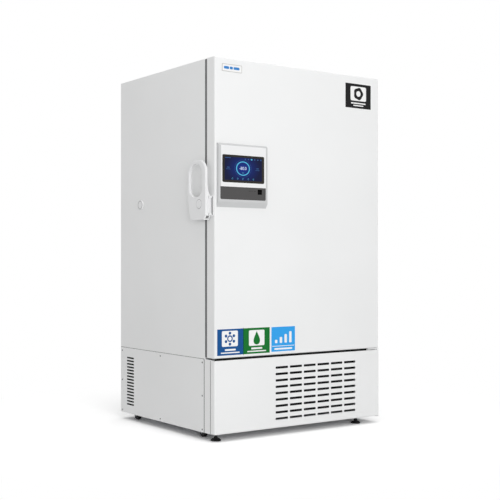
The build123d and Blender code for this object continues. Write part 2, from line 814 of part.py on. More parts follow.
def strip_space(sink=0.0):
    """The seat of the dark strip below the screen, or the strip, rounded at its lower corners."""
    x = DISPLAY_SPAN_X[0] + STRIP_INSET + STRIP_SIZE[0] / 2
    z = STRIP_BOTTOM + STRIP_SIZE[1] / 2
    face = Pos(x, z) * Rectangle(*STRIP_SIZE)
    face = fillet(face.vertices().group_by(Axis.Y)[0], DISPLAY_CORNER_R)
    return from_front(face, DISPLAY_FACE + sink, DISPLAY_FACE + STRIP_DEPTH)


def display_housing():
    """The moulded housing, sloped below and bevelled above, with seats for glass and strip."""
    top = DISPLAY_BOTTOM + DISPLAY_HEIGHT
    side = outline(
        (FRONT, DISPLAY_BOTTOM),
        (DISPLAY_FACE, DISPLAY_BOTTOM + DISPLAY_CHIN),
        (DISPLAY_FACE, top - DISPLAY_BROW),
        (FRONT - DISPLAY_REACH + DISPLAY_BROW, top),
        (FRONT, top),
    )
    body = from_left(side, *DISPLAY_SPAN_X)
    face = body.faces().filter_by(Axis.Y).sort_by(Axis.Y)[0]
    body = fillet(face.edges().filter_by(Axis.Z), DISPLAY_EDGE_R)
    return body - screen_space() - strip_space()


# Lever handle and lock


LEVER_Y = (FRONT + LEVER_FRONT, FRONT + LEVER_FRONT + LEVER_LENGTH)
LEVER_Z = (LEVER_BOTTOM, LEVER_BOTTOM + LEVER_HEIGHT)
LEVER_X = (LEFT - HANDLE_REACH, LEFT - HANDLE_REACH + LEVER_THICKNESS)
GRIP_Z = (LEVER_Z[1] - GRIP_TOP - GRIP_HEIGHT, LEVER_Z[1] - GRIP_TOP)
EAR_Z = (LEVER_BOTTOM + PIVOT_LOW, LEVER_BOTTOM + PIVOT_LOW + PIVOT_SPAN)


def lever_outline():
    """The handle seen from the side: an arched loop over a body that tapers downwards."""
    face = outline(
        (LEVER_Y[0], LEVER_Z[0] + EYE_SLOPE[1]),
        (LEVER_Y[0] + EYE_SLOPE[0], LEVER_Z[0]),
        (LEVER_Y[1] - LEVER_TAPER, LEVER_Z[0]),
        (LEVER_Y[1], LEVER_Z[0] + LEVER_TAPER_HEIGHT),
        (LEVER_Y[1], LEVER_Z[1]),
        (LEVER_Y[0], LEVER_Z[1]),
    )
    face = fillet(face.vertices().group_by(Axis.Y)[-1], LEVER_CORNER_R)
    lower_rear = face.vertices().group_by(Axis.Y)[0].sort_by(Axis.X)[-1]
    return fillet(lower_rear, LEVER_TAPER)


def grip_opening():
    """The finger space in the loop, an oval between the grip's two limbs."""
    y = (LEVER_Y[0] + GRIP_FRONT, LEVER_Y[1] - GRIP_REAR)
    middle = Pos((y[0] + y[1]) / 2, (GRIP_Z[0] + GRIP_Z[1]) / 2)
    return middle * RectangleRounded(y[1] - y[0], GRIP_HEIGHT, GRIP_CORNER_R)


def lever_web():
    """The front wall of the handle, which runs in to the pivot and flares up into the loop."""
    z0 = LEVER_Z[0] + EYE_SLOPE[1] - EYE_WALL
    z1 = z0 + WEB_HEIGHT
    inner = PIVOT[0] + PIVOT_BARREL_R - WEB_INSET
    edge = Polyline((LEVER_X[0] + LEVER_ROUND, z0), (inner, z0), (inner, z1))
    flare = RadiusArc((inner, z1), (LEVER_X[1], z1 + WEB_CURVE), WEB_ARC)
    close = Polyline((LEVER_X[1], z1 + WEB_CURVE), (LEVER_X[0] + LEVER_ROUND, z1 + WEB_CURVE),
                     (LEVER_X[0] + LEVER_ROUND, z0))
    return from_front(make_face(edge + flare + close), LEVER_Y[0], LEVER_Y[0] + WEB)


def on_slope(x, depth, length):
    """A box on the sloped lower front corner of the handle, by its depth behind the slope."""
    angle = math.degrees(math.atan2(*EYE_SLOPE))
    middle = Pos(0, LEVER_Y[0] + EYE_SLOPE[0] / 2, LEVER_Z[0] + EYE_SLOPE[1] / 2)
    return middle * Rot(angle, 0, 0) * block(x, depth, (-length / 2, length / 2))


def eye_span():
    """The padlock eye's left and right ends."""
    return (LEVER_X[0] + EYE_BORDER, PIVOT[0] + PIVOT_BARREL_R - WEB_INSET)


def padlock_eye():
    """The sloped wall across the corner."""
    return on_slope(eye_span(), (0, EYE_WALL), math.hypot(*EYE_SLOPE))


def padlock_hole():
    """The square hole in the sloped wall, and the hollow behind it."""
    x = eye_span()
    middle = (x[0] + x[1]) / 2
    hole = on_slope(around(middle, EYE_HOLE[0] / 2), (-EYE_WALL, 2 * EYE_WALL), EYE_HOLE[1])
    hollow_x = (x[0] + EYE_BORDER, LEFT)
    return hole + on_slope(hollow_x, (EYE_WALL, EYE_WALL + EYE_CAVITY), EYE_HOLE[1] + 2 * EYE_BORDER)


def lock_line(x0, x1, radius):
    """A round bar on the lock's axis, by distances out from the cabinet side."""
    centre = (FRONT + LOCK_Y, LOCK_Z)
    return rod((LEFT - x0, *centre), (LEFT - x1, *centre), radius)


def handle_lever():
    """The moulded handle: loop grip, body, web with the pivot barrel, and padlock eye."""
    loop = from_left(lever_outline() - grip_opening(), *LEVER_X)
    outer, inner = loop.faces().filter_by(Axis.X).sort_by(Axis.X)
    loop = fillet(outer.edges(), LEVER_ROUND)
    inner = loop.faces().filter_by(Axis.X).sort_by(Axis.X)[-1]
    loop = chamfer(inner.edges(), LEVER_BEVEL)
    low_y = (LEVER_Y[0] + WEB, LEVER_Y[1] - LEVER_TAPER - BODY_INSET)
    low_z = (LEVER_Z[0] + BODY_INSET, GRIP_Z[0] - BODY_INSET)
    body = from_left(area(low_y, low_z), LEVER_X[1] - LEVER_ROUND, LEVER_X[1] + BODY_DEPTH)
    lever = loop + body + lever_web()
    barrel = rod((*PIVOT, EAR_Z[0] + PIVOT_EAR + KNUCKLE_GAP),
                 (*PIVOT, EAR_Z[1] - PIVOT_EAR - KNUCKLE_GAP), PIVOT_BARREL_R)
    lever += barrel + padlock_eye()
    lever -= padlock_hole()
    pocket_x = (PIVOT[0] - PIVOT_POCKET_R, LEFT)
    for z in ((EAR_Z[0], EAR_Z[0] + PIVOT_EAR), (EAR_Z[1] - PIVOT_EAR, EAR_Z[1])):
        lever -= block(pocket_x, grown(LEVER_Y, BODY_DEPTH), grown(z, KNUCKLE_GAP))
    lever -= rod((*PIVOT, LEVER_Z[0]), (*PIVOT, GRIP_Z[0]), PIVOT_PIN_R + RUNNING)
    lever -= lock_line(0, HANDLE_REACH, LOCK_R + RUNNING)
    return lever - lock_line(HANDLE_REACH - LOCK_CAP + LOCK_CAP_PROUD, HANDLE_REACH,
                             LOCK_CAP_R + LOCK_CAP_GAP)


def handle_base():
    """The plate on the door's side with two ears and the pin that the lever turns on."""
    y = (FRONT + BASE_PLATE_FRONT, FRONT + BASE_PLATE_FRONT + BASE_PLATE_WIDTH)
    plate = block((LEFT - BASE_PLATE, LEFT), y, grown(EAR_Z, BASE_PLATE_MARGIN))
    plate = fillet(plate.edges().filter_by(Axis.X), BASE_PLATE_MARGIN)
    for z0 in (EAR_Z[0], EAR_Z[1] - PIVOT_EAR):
        shape = Pos(*PIVOT) * Circle(PIVOT_EAR_R)
        shape += area((PIVOT[0], LEFT), around(PIVOT[1], PIVOT_EAR_R))
        plate += from_below(shape, z0, z0 + PIVOT_EAR)
    return plate + rod((*PIVOT, EAR_Z[0]), (*PIVOT, EAR_Z[1]), PIVOT_PIN_R)


def lock_cylinder():
    """The key lock in the handle: round cap, barrel and the cam on its inner end."""
    cap = lock_line(HANDLE_REACH + LOCK_CAP_PROUD - LOCK_CAP, HANDLE_REACH + LOCK_CAP_PROUD,
                    LOCK_CAP_R)
    cap = chamfer(cap.edges().sort_by(Axis.X)[0], LOCK_CAP_BEVEL)
    barrel = lock_line(CAM_FROM_SIDE, HANDLE_REACH, LOCK_R)
    y, z = FRONT + LOCK_Y, LOCK_Z
    cam = block((LEFT - CAM_FROM_SIDE - CAM[2], LEFT - CAM_FROM_SIDE),
                around(y, CAM[0] / 2), (z, z + CAM[1]))
    return cap + barrel + cam


def latch_keeper():
    """The plate on the cabinet's side, with the lip that the turned cam catches behind."""
    y0, z = FRONT + KEEPER_Y, LOCK_Z
    plate = block((LEFT - KEEPER_PLATE, LEFT), (y0, y0 + KEEPER_SIZE[0]),
                  around(z, KEEPER_SIZE[1] / 2))
    lip_y = (y0, y0 + KEEPER_LIP[0])
    lip = block((LEFT - KEEPER_STAND, LEFT - KEEPER_STAND + KEEPER_LIP[2]), lip_y,
                around(z, KEEPER_LIP[1] / 2))
    wall = block((LEFT - KEEPER_STAND, LEFT), (lip_y[1] - KEEPER_LIP[2], lip_y[1]),
                 around(z, KEEPER_LIP[1] / 2))
    return plate + lip + wall


# Hinges


def case_knuckle(z0, z1):
    """A knuckle on the cabinet's side, with the strap that carries it."""
    x, y = HINGE_AXIS
    shape = Pos(x, y) * Circle(KNUCKLE_R)
    shape += outline((RIGHT, CASE_FRONT), (x, y), (x + STRAP_TANGENT, y + STRAP_TANGENT),
                     (RIGHT + HINGE_LEAF, CASE_FRONT + STRAP_RUN), (RIGHT, CASE_FRONT + STRAP_RUN))
    return from_below(shape - Pos(x, y) * Circle(HINGE_PIN_R + SEATED), z0, z1)


def door_knuckle(z0, z1):
    """A knuckle on the door's leaf, with the web that carries it."""
    x, y = HINGE_AXIS
    shape = Pos(x, y) * Circle(KNUCKLE_R)
    shape += outline((DOOR_RIGHT, DOOR_BACK - STRAP_RUN), (DOOR_RIGHT + HINGE_LEAF, DOOR_BACK - STRAP_RUN),
                     (x + STRAP_TANGENT, y - STRAP_TANGENT), (x, y), (DOOR_RIGHT, DOOR_BACK))
    return from_below(shape - Pos(x, y) * Circle(HINGE_PIN_R + RUNNING), z0, z1)


HINGE_Z = (HEIGHT - UPPER_HINGE, HEIGHT)
KNUCKLE_LENGTH = UPPER_HINGE / 3


def hinge_brackets():
    """The cabinet's side of every hinge: upper strap, lower plate, inner ears and panel ear."""
    upper = block((RIGHT, RIGHT + HINGE_LEAF), (CASE_FRONT, CASE_FRONT + LEAF_DEPTH), HINGE_Z)
    upper += case_knuckle(HINGE_Z[0], HINGE_Z[0] + KNUCKLE_LENGTH - KNUCKLE_GAP)
    upper += case_knuckle(HINGE_Z[1] - KNUCKLE_LENGTH + KNUCKLE_GAP, HINGE_Z[1])
    x, y = HINGE_AXIS
    plan = area((RIGHT - LOWER_PLATE_WIDTH, RIGHT), (FRONT + LOWER_PLATE_FRONT, CASE_FRONT - KNUCKLE_GAP))
    plan += outline((RIGHT, y - STRAP_RUN), (x, y - KNUCKLE_R), (x, y + KNUCKLE_R), (RIGHT, y + KNUCKLE_R))
    plan += Pos(x, y) * Circle(KNUCKLE_R)
    plan -= Pos(x, y) * Circle(HINGE_PIN_R + SEATED)
    plan -= Pos(*PANEL_AXIS) * Circle(PANEL_PIN_R + SEATED)
    lower = from_below(plan, BASE_TOP, BASE_TOP + LOWER_PLATE)
    ear_x = (RIGHT - PANEL_EAR_WIDTH, RIGHT - FRAME_SHEET)
    ear_z = (FLOOR_GAP - KNUCKLE_GAP - PANEL_EAR, FLOOR_GAP - KNUCKLE_GAP)
    tab_y = (FRAME_Y[0] + FRAME_SHEET, FRAME_Y[0] + FRAME_SHEET + PANEL_EAR)
    ear = block(ear_x, (FRONT + PANEL_EAR_FRONT, tab_y[1]), ear_z)
    ear += block(ear_x, tab_y, (ear_z[0], FLOOR_GAP + PANEL_EAR_RISE))
    ear -= rod((*PANEL_AXIS, 0), (*PANEL_AXIS, FLOOR_GAP), PANEL_PIN_R + SEATED)
    return [upper, lower, ear] + inner_ears()


def hinge_pins():
    """The fixed pins that the doors and the service panel turn on."""
    low = FLOOR_GAP - KNUCKLE_GAP - PANEL_EAR
    return [
        rod((*HINGE_AXIS, HINGE_Z[0]), (*HINGE_AXIS, HINGE_Z[1]), HINGE_PIN_R),
        rod((*HINGE_AXIS, BASE_TOP), (*HINGE_AXIS, DOOR_BOTTOM + LOWER_KNUCKLE), HINGE_PIN_R),
        rod((*PANEL_AXIS, BASE_TOP - PANEL_PIN_UP), (*PANEL_AXIS, BASE_TOP + LOWER_PLATE),
            PANEL_PIN_R),
        rod((*PANEL_AXIS, low), (*PANEL_AXIS, FLOOR_GAP + PANEL_PIN_UP), PANEL_PIN_R),
    ] + inner_pins()


def door_hinge_leaves():
    """The leaves screwed to the door's right edge, each with its knuckle."""
    x = (DOOR_RIGHT, DOOR_RIGHT + HINGE_LEAF)
    y = (DOOR_BACK - LEAF_DEPTH, DOOR_BACK)
    upper = block(x, y, HINGE_Z)
    upper += door_knuckle(HINGE_Z[0] + KNUCKLE_LENGTH, HINGE_Z[1] - KNUCKLE_LENGTH)
    lower = block(x, y, (DOOR_BOTTOM, DOOR_BOTTOM + LOWER_LEAF))
    lower += door_knuckle(DOOR_BOTTOM, DOOR_BOTTOM + LOWER_KNUCKLE)
    return [upper, lower]


# Machine compartment case


def service_panel():
    """The hinged front cover with its grille, a folded pan open at the back."""
    z = (FLOOR_GAP, FLOOR_GAP + PANEL_HEIGHT)
    y = (FRONT, FRONT + PANEL_DEPTH)

    def pan(clear):
        space = block((LEFT + clear, RIGHT - clear), (y[0] + clear, y[1]), grown(z, -clear))
        front = space.faces().sort_by(Axis.Y)[0].edges()
        space = fillet(front.filter_by(Axis.Z), PANEL_CORNER_R - clear)
        front = space.faces().sort_by(Axis.Y)[0].edges()
        return chamfer(front.filter_by(Axis.X), PANEL_EDGE - clear)

    slots = []
    for i in range(GRILLE_COLUMNS):
        for j in range(GRILLE_ROWS):
            x = RIGHT - GRILLE_RIGHT - GRILLE_SLOT[0] / 2 - i * GRILLE_PITCH[0]
            slot_z = GRILLE_BOTTOM + GRILLE_SLOT[1] / 2 + j * GRILLE_PITCH[1]
            slots.append(Pos(x, slot_z) * punched_slot(*GRILLE_SLOT))
    panel = pan(0) - pan(SHEET) - from_front(Sketch() + slots, FRONT - SHEET, FRONT + 2 * SHEET)
    hole = PANEL_PIN_R + RUNNING
    return panel - rod((*PANEL_AXIS, 0), (*PANEL_AXIS, BASE_TOP), hole)


def front_frame():
    """The fixed frame behind the service panel: two posts, a head and a sill."""
    x = (LEFT, RIGHT)
    z = (FLOOR_GAP, BASE_TOP)
    face_y = (FRAME_Y[0], FRAME_Y[0] + FRAME_SHEET)
    post = block((x[0], x[0] + FRAME_SIDE), face_y, z)
    post += block((x[0], x[0] + FRAME_SHEET), FRAME_Y, z)
    head = block(grown(x, -FRAME_SIDE), face_y, (z[1] - FRAME_TOP, z[1]))
    head += block(grown(x, -FRAME_SIDE), FRAME_Y, (z[1] - FRAME_SHEET, z[1]))
    sill = block(grown(x, -FRAME_SIDE), face_y, (z[0], z[0] + FRAME_BOTTOM))
    return [post, mirrored(post), head, sill]


def lower_side_panels():
    """The screwed side covers of the machine compartment, with a bank of air slots."""
    y = (FRAME_Y[1], BACK)
    centre_y = BACK - VENT_REAR - VENT_SLOT[0] / 2
    slots = []
    for i in range(VENT_SLOTS):
        z = VENT_BOTTOM + VENT_SLOT[1] / 2 + i * VENT_PITCH
        slots.append(Pos(centre_y, z) * punched_slot(*VENT_SLOT))
    face = area(y, (FLOOR_GAP, BASE_TOP)) - slots
    panel = from_left(face, LEFT, LEFT + SHEET)
    return [panel, mirrored(panel)]


def lower_rear_panel():
    """The rear cover of the machine compartment, with air slots and the inlet's cut-out."""
    face = area((LEFT + SHEET, RIGHT - SHEET), (FLOOR_GAP, BASE_TOP))
    slots = []
    for i in range(REAR_VENTS[0]):
        for j in range(REAR_VENTS[1]):
            x = LEFT + REAR_VENT_LEFT + REAR_VENT_SLOT[0] / 2 + i * REAR_VENT_PITCH[0]
            z = REAR_VENT_BOTTOM + j * REAR_VENT_PITCH[1]
            slots.append(Pos(x, z) * Rectangle(*REAR_VENT_SLOT))
    slots.append(Pos(*INLET_CENTRE) * Rectangle(INLET_BODY[0], INLET_BODY[1]))
    return from_front(face - slots, REAR_COVER, REAR_COVER + SHEET)


def base_frame():
    """The floor tray, the four corner posts and the casters' plates welded under it."""
    x, y = (LEFT + FRAME_SHEET, RIGHT - FRAME_SHEET), (FRAME_Y[0] + FRAME_SHEET, REAR_COVER)
    tray = block(x, y, (CASTER_HEIGHT, TRAY_TOP))
    for foot_x in FOOT_X:
        centre = (foot_x, FRONT + FOOT_Y)
        tray += rod((*centre, CASTER_HEIGHT), (*centre, TRAY_TOP + FOOT_BOSS[1]), FOOT_BOSS[0])
        tray -= rod((*centre, 0), (*centre, BASE_TOP), FOOT_STEM_R + RUNNING)
    for corner in caster_corners():
        plate_x = around(corner[0], CASTER_PLATE[1] / 2)
        plate_y = around(corner[1], CASTER_PLATE[0] / 2)
        plate = block(plate_x, plate_y, (CASTER_HEIGHT - CASTER_PLATE[2], CASTER_HEIGHT))
        plate -= rod((*corner, 0), (*corner, CASTER_HEIGHT), KINGPIN_R + RUNNING)
        tray += plate
    posts = []
    z = (TRAY_TOP, BASE_TOP)
    for y0, way in ((FRAME_Y[1], 1), (REAR_COVER, -1)):
        span = sorted((y0, y0 + way * POST[0]))
        web = sorted((y0, y0 + way * POST[1]))
        post = block((x[0], x[0] + POST[1]), span, z) + block((x[0], x[0] + POST[0]), web, z)
        posts += [post, mirrored(post)]
    return [tray] + posts


# Casters and levelling feet


def caster_corners():
    """The swivel centres: front left, front right, rear left, rear right."""
    return [(x, y) for y in CASTER_Y for x in (LEFT + CASTER_X, RIGHT - CASTER_X)]


def caster_fork(corner):
    """A swivel fork: kingpin, race, yoke and the fixed axle across it."""
    x, y = corner
    axle_y = y + CASTER_TRAIL
    yoke_top = 2 * WHEEL_R + FORK_SIDE_GAP + FORK
    half = WHEEL_WIDTH / 2 + FORK_SIDE_GAP
    race_top = CASTER_HEIGHT - CASTER_PLATE[2] - KNUCKLE_GAP
    fork = rod((x, y, yoke_top), (x, y, race_top), RACE_R)
    fork += rod((x, y, yoke_top), (x, y, CASTER_HEIGHT - KNUCKLE_GAP), KINGPIN_R)
    width = around(x, half + FORK)
    fork += block(width, (y - RACE_R, axle_y), (yoke_top - FORK, yoke_top))
    foot = around(axle_y, FORK_FOOT[0] / 2)
    side = outline((y - RACE_R, yoke_top), (foot[1] - FORK_SLOPE, yoke_top), (foot[1], WHEEL_R),
                   (axle_y, WHEEL_R - FORK_FOOT[1]), (foot[0], WHEEL_R))
    for cheek in ((width[0], width[0] + FORK), (width[1] - FORK, width[1])):
        fork += from_left(side, *cheek)
    return fork + rod((width[0], axle_y, WHEEL_R), (width[1], axle_y, WHEEL_R), AXLE_R)


def caster_wheel(corner):
    """A wheel with bevelled edges, bored for the fork's axle."""
    x, y = around(corner[0], WHEEL_WIDTH / 2), corner[1] + CASTER_TRAIL
    tread = rod((x[0], y, WHEEL_R), (x[1], y, WHEEL_R), WHEEL_R)
    bore = rod((x[0], y, WHEEL_R), (x[1], y, WHEEL_R), AXLE_R + RUNNING)
    return chamfer(tread.edges(), WHEEL_BEVEL) - bore


def levelling_foot(x):
    """A round pad with a nut and the stem that screws into the tray's boss."""
    y = FRONT + FOOT_Y
    pad = rod((x, y, 0), (x, y, FOOT_PAD), FOOT_PAD_R)
    pad = chamfer(pad.edges().sort_by(Axis.Z)[-1], FOOT_PAD / 2)
    nut = from_below(Pos(x, y) * RegularPolygon(FOOT_NUT[0], 6), FOOT_PAD, FOOT_PAD + FOOT_NUT[1])
    stem = rod((x, y, FOOT_PAD), (x, y, TRAY_TOP + FOOT_BOSS[1] + FOOT_NUT[1]), FOOT_STEM_R)
    return pad + nut + stem


# Refrigeration


def condenser():
    """A finned block with header plates and the return bends of its tube at one end."""
    x = around(CONDENSER_X, CONDENSER_WIDTH / 2)
    y = (FRONT + CONDENSER_Y, SHROUD_Y)
    z = (TRAY_TOP, TRAY_TOP + CONDENSER_HEIGHT)
    body = block(x, y, (z[0], z[0] + HEADER)) + block(x, y, (z[1] - HEADER, z[1]))
    pitch = (CONDENSER_WIDTH - FIN) / (FIN_COUNT - 1)
    fins = [block((x[0] + i * pitch, x[0] + i * pitch + FIN), y, (z[0] + HEADER, z[1] - HEADER))
            for i in range(FIN_COUNT)]
    body += fins
    rise = (CONDENSER_HEIGHT - 4 * HEADER) / (2 * BEND_ROWS)
    middle_y = (y[0] + y[1]) / 2
    for i in range(BEND_ROWS):
        low = z[0] + 2 * HEADER + rise / 2 + 2 * i * rise
        end = x[1] - FIN
        path = FilletPolyline((end, middle_y, low), (end + rise, middle_y, low),
                              (end + rise, middle_y, low + rise), (end, middle_y, low + rise),
                              radius=rise * BEND_SHARE)
        body += along(path, tube_section(LINE_R))
    return body


def fan_shroud():
    """The plate behind the condenser with the round collar that the fan turns in."""
    x = around(CONDENSER_X, CONDENSER_WIDTH / 2)
    plate = area(x, (TRAY_TOP, TRAY_TOP + CONDENSER_HEIGHT))
    centre = Pos(CONDENSER_X, FAN_Z)
    body = from_front(plate - centre * Circle(ORIFICE_R), SHROUD_Y, SHROUD_Y + SHROUD)
    ring = centre * (Circle(ORIFICE_R + SHROUD) - Circle(ORIFICE_R))
    return body + from_front(ring, SHROUD_Y, SHROUD_Y + COLLAR)


def fan_line(y0, y1, radius):
    """A round bar on the fan's axis."""
    return rod((CONDENSER_X, y0, FAN_Z), (CONDENSER_X, y1, FAN_Z), radius)


def fan_motor():
    """The motor, its shaft and the strap that holds it behind the shroud."""
    y0 = FAN_Y + FAN_DEPTH + MOTOR_GAP
    motor = fan_line(y0, y0 + MOTOR_LENGTH, MOTOR_R)
    motor = chamfer(motor.edges(), MOTOR_BEVEL)
    motor += fan_line(FAN_Y + BLADE, y0 + MOTOR_GAP, MOTOR_SHAFT_R)
    x = around(CONDENSER_X, STRAP[0] / 2)
    strap_y = (y0 + MOTOR_LENGTH, y0 + MOTOR_LENGTH + STRAP[1])
    z = around(FAN_Z, STRAP_REACH)
    motor += block(x, strap_y, z)
    for leg in ((z[0], z[0] + STRAP[1]), (z[1] - STRAP[1], z[1])):
        motor += block(x, (SHROUD_Y + SHROUD, strap_y[1]), leg)
    return motor


def fan_blade():
    """A pressed blade: cambered sheet set at a pitch, cut to a paddle that widens to its tip."""
    root, tip = BLADE_CHORD[0] / 2, BLADE_CHORD[1] / 2
    low = FAN_HUB_R - BLADE_ROOT
    under = ThreePointArc((-tip, 0), (0, BLADE_CAMBER), (tip, 0))
    over = ThreePointArc((tip, 0), (0, BLADE_CAMBER + BLADE), (-tip, 0))
    sheet = extrude(Pos(0, 0, low) * make_face(under + over), amount=BLADE_REACH - low)
    paddle = outline((-root, low), (root, low), (tip, BLADE_REACH), (-tip, BLADE_REACH))
    paddle = fillet(paddle.vertices().group_by(Axis.Y)[-1], BLADE_CORNER)
    blade = sheet & from_front(paddle, -tip, tip)
    return Rot(0, 0, BLADE_PITCH) * blade


def fan_blades():
    """The impeller: a bevelled hub with pitched, cambered blades."""
    y = FAN_Y + FAN_DEPTH
    hub = fan_line(FAN_Y, y, FAN_HUB_R)
    hub = chamfer(hub.edges().sort_by(Axis.Y)[0], MOTOR_BEVEL)
    middle = Pos(CONDENSER_X, FAN_Y + FAN_DEPTH / 2, FAN_Z)
    blade = fan_blade()
    fan = hub
    for i in range(FAN_BLADES):
        fan += middle * Rot(0, i * 360 / FAN_BLADES, 0) * blade
    return fan - fan_line(FAN_Y - 1, y + 1, MOTOR_SHAFT_R + RUNNING)


def dust_filter():
    """The washable filter panel behind the frame's window."""
    x = around(CONDENSER_X, FILTER[0] / 2)
    z = (TRAY_TOP, TRAY_TOP + FILTER[1])
    y0 = FRONT + FILTER_Y
    return block(x, (y0, y0 + FILTER[2]), z)


def compressor(place_x):
    """A welded dome compressor on its foot plate, standing on four rubber grommets."""
    x, y = place_x, FRONT + COMPRESSOR_Y
    foot_z = TRAY_TOP + GROMMET[1]
    z = (foot_z + COMPRESSOR_FOOT[2], foot_z + COMPRESSOR_HEIGHT)
    plan = Pos(x, y) * RectangleRounded(COMPRESSOR_FOOT[0], COMPRESSOR_FOOT[1], COMPRESSOR_FOOT_R)
    foot = from_below(plan, foot_z, z[0])
    shell = rod((x, y, z[0]), (x, y, z[1]), COMPRESSOR_R)
    shell = domed(shell, COMPRESSOR_DOME)
    box_z = (z[0] + TERMINAL_UP, z[0] + TERMINAL_UP + TERMINAL_BOX[2])
    box = block(around(x, TERMINAL_BOX[0] / 2), (y - COMPRESSOR_R - TERMINAL_BOX[1], y), box_z)
    stub = rod((x + STUB_OUT, y, z[1] - COMPRESSOR_DOME), (x + STUB_OUT, y, z[1] + STUB_HEIGHT), STUB_R)
    grommets = []
    for i in (-1, 1):
        for j in (-1, 1):
            centre = (x + i * GROMMET_SPREAD[0], y + j * GROMMET_SPREAD[1])
            grommets.append(rod((*centre, TRAY_TOP), (*centre, foot_z), GROMMET[0]))
    return [foot + shell + box + stub] + grommets


def stub_top(place_x):
    """The place where a line leaves a compressor's stub."""
    top = TRAY_TOP + GROMMET[1] + COMPRESSOR_HEIGHT + STUB_HEIGHT
    return (place_x + STUB_OUT, FRONT + COMPRESSOR_Y, top)


def oil_separator():
    """An upright can with domed ends on the discharge line."""
    x, y = SEPARATOR_X, FRONT + COMPRESSOR_Y
    can = rod((x, y, TRAY_TOP), (x, y, TRAY_TOP + SEPARATOR_HEIGHT), SEPARATOR_R)
    return domed(can, SEPARATOR_R / 2)


def cascade_heat_exchanger():
    """The insulated plate exchanger between the two refrigerant circuits."""
    x, y = EXCHANGER_X, FRONT + EXCHANGER_Y
    face = Pos(x, y) * RectangleRounded(EXCHANGER[0], EXCHANGER[1], EXCHANGER_R)
    return from_below(face, TRAY_TOP, TRAY_TOP + EXCHANGER[2])


def filter_drier():
    """A spun copper drier in the liquid line, with necked ends."""
    x, y = EXCHANGER_X, FRONT + DRIER_Y
    can = rod((x, y, DRIER_Z), (x + DRIER_LENGTH, y, DRIER_Z), DRIER_R)
    return chamfer(can.edges(), DRIER_R - LINE_R)


def pipe(*points):
    """A refrigerant line through the points, with every corner bent to one radius."""
    return along(FilletPolyline(*points, radius=LINE_BEND), tube_section(LINE_R))


def refrigerant_lines():
    """The copper lines between the compressors, separator, condenser, drier and exchanger."""
    low, high = stub_top(COMPRESSOR_X[0]), stub_top(COMPRESSOR_X[1])
    run_z = low[2] + 2 * LINE_BEND
    can_y, can_top = FRONT + COMPRESSOR_Y, TRAY_TOP + SEPARATOR_HEIGHT
    in_x, out_x = around(SEPARATOR_X, SEPARATOR_PORTS / 2)
    lane = (SEPARATOR_X + SEPARATOR_R + COMPRESSOR_X[1] - COMPRESSOR_FOOT[0] / 2) / 2
    x, y, top = EXCHANGER_X, FRONT + EXCHANGER_Y, TRAY_TOP + EXCHANGER[2]
    step = 2.5 * LINE_BEND
    drier_y, drier_end = FRONT + DRIER_Y, x + DRIER_LENGTH
    coil_x = CONDENSER_X - CONDENSER_WIDTH / 2
    coil_y = FRONT + CONDENSER_Y + CONDENSER_DEPTH / 2
    hot_z = TRAY_TOP + CONDENSER_HEIGHT - 3 * HEADER
    cold_z = TRAY_TOP + 8 * HEADER
    turn_y = can_y - COMPRESSOR_R - 2 * LINE_BEND
    return [
        pipe(low, (low[0], low[1], run_z), (in_x, can_y, run_z), (in_x, can_y, can_top)),
        pipe((coil_x, coil_y, hot_z), (coil_x - step, coil_y, hot_z), (coil_x - step, turn_y, hot_z),
             (out_x, can_y, hot_z), (out_x, can_y, can_top)),
        pipe((coil_x, coil_y, cold_z), (coil_x - step, coil_y, cold_z),
             (coil_x - step, turn_y - step, cold_z), (lane, turn_y - step, cold_z),
             (lane, drier_y, cold_z), (lane, drier_y, DRIER_Z), (drier_end, drier_y, DRIER_Z)),
        pipe((x, drier_y, DRIER_Z), (x - step, drier_y, DRIER_Z),
             (x - step, drier_y, DRIER_Z + step), (x - step, y, DRIER_Z + step),
             (x - step, y, top)),
        pipe((x + step, y, top), (x + step, y, run_z), (high[0], y, run_z),
             (high[0], high[1], run_z), high),
    ]


def control_box():
    """The steel box for relays and the power board, with a lipped lid."""
    x = (RIGHT - CONTROL_BOX_RIGHT - CONTROL_BOX[0], RIGHT - CONTROL_BOX_RIGHT)
    y = (REAR_COVER - CONTROL_BOX[1], REAR_COVER)
    z = (TRAY_TOP, TRAY_TOP + CONTROL_BOX[2])
    box = block(x, y, z)
    lid = block(grown(x, CONTROL_LID), (y[0] - CONTROL_LID, y[0] + CONTROL_LIP), z)
    return box + lid


# Power inlet with its switch


def inlet_part(size, x, z, y0, y1):
    """A box in the inlet's own place, by its offset from the inlet's centre."""
    centre_x, centre_z = INLET_CENTRE[0] + x, INLET_CENTRE[1] + z
    return block(around(centre_x, size[0] / 2), (y0, y1),
                 around(centre_z, size[1] / 2))


def power_inlet():
    """A rear inlet with three blades in its socket, beside the seat of the switch."""
    body = inlet_part(INLET_BODY, 0, 0, BACK - INLET_BODY[2], BACK)
    body -= inlet_part(INLET_SOCKET, SOCKET_X, 0, BACK - INLET_SOCKET[2], BACK)
    for x, z in INLET_BLADE_PLACES:
        body += inlet_part(INLET_BLADE, SOCKET_X + x, z, BACK - INLET_SOCKET[2],
                           BACK - INLET_SOCKET[2] + INLET_BLADE[2])
    seat = (ROCKER[0] + 2 * ROCKER_GAP, ROCKER[1] + 2 * ROCKER_GAP)
    body -= inlet_part(seat, ROCKER_X, 0, BACK - ROCKER[2] - ROCKER_PIN_R, BACK)
    x = INLET_CENTRE[0] + ROCKER_X
    y = BACK - ROCKER[2] / 2
    bore_x = around(x, ROCKER[0] / 2 + 2 * ROCKER_PIN)
    return body - rod((bore_x[0], y, INLET_CENTRE[1]), (bore_x[1], y, INLET_CENTRE[1]),
                      ROCKER_PIN_R + RUNNING)


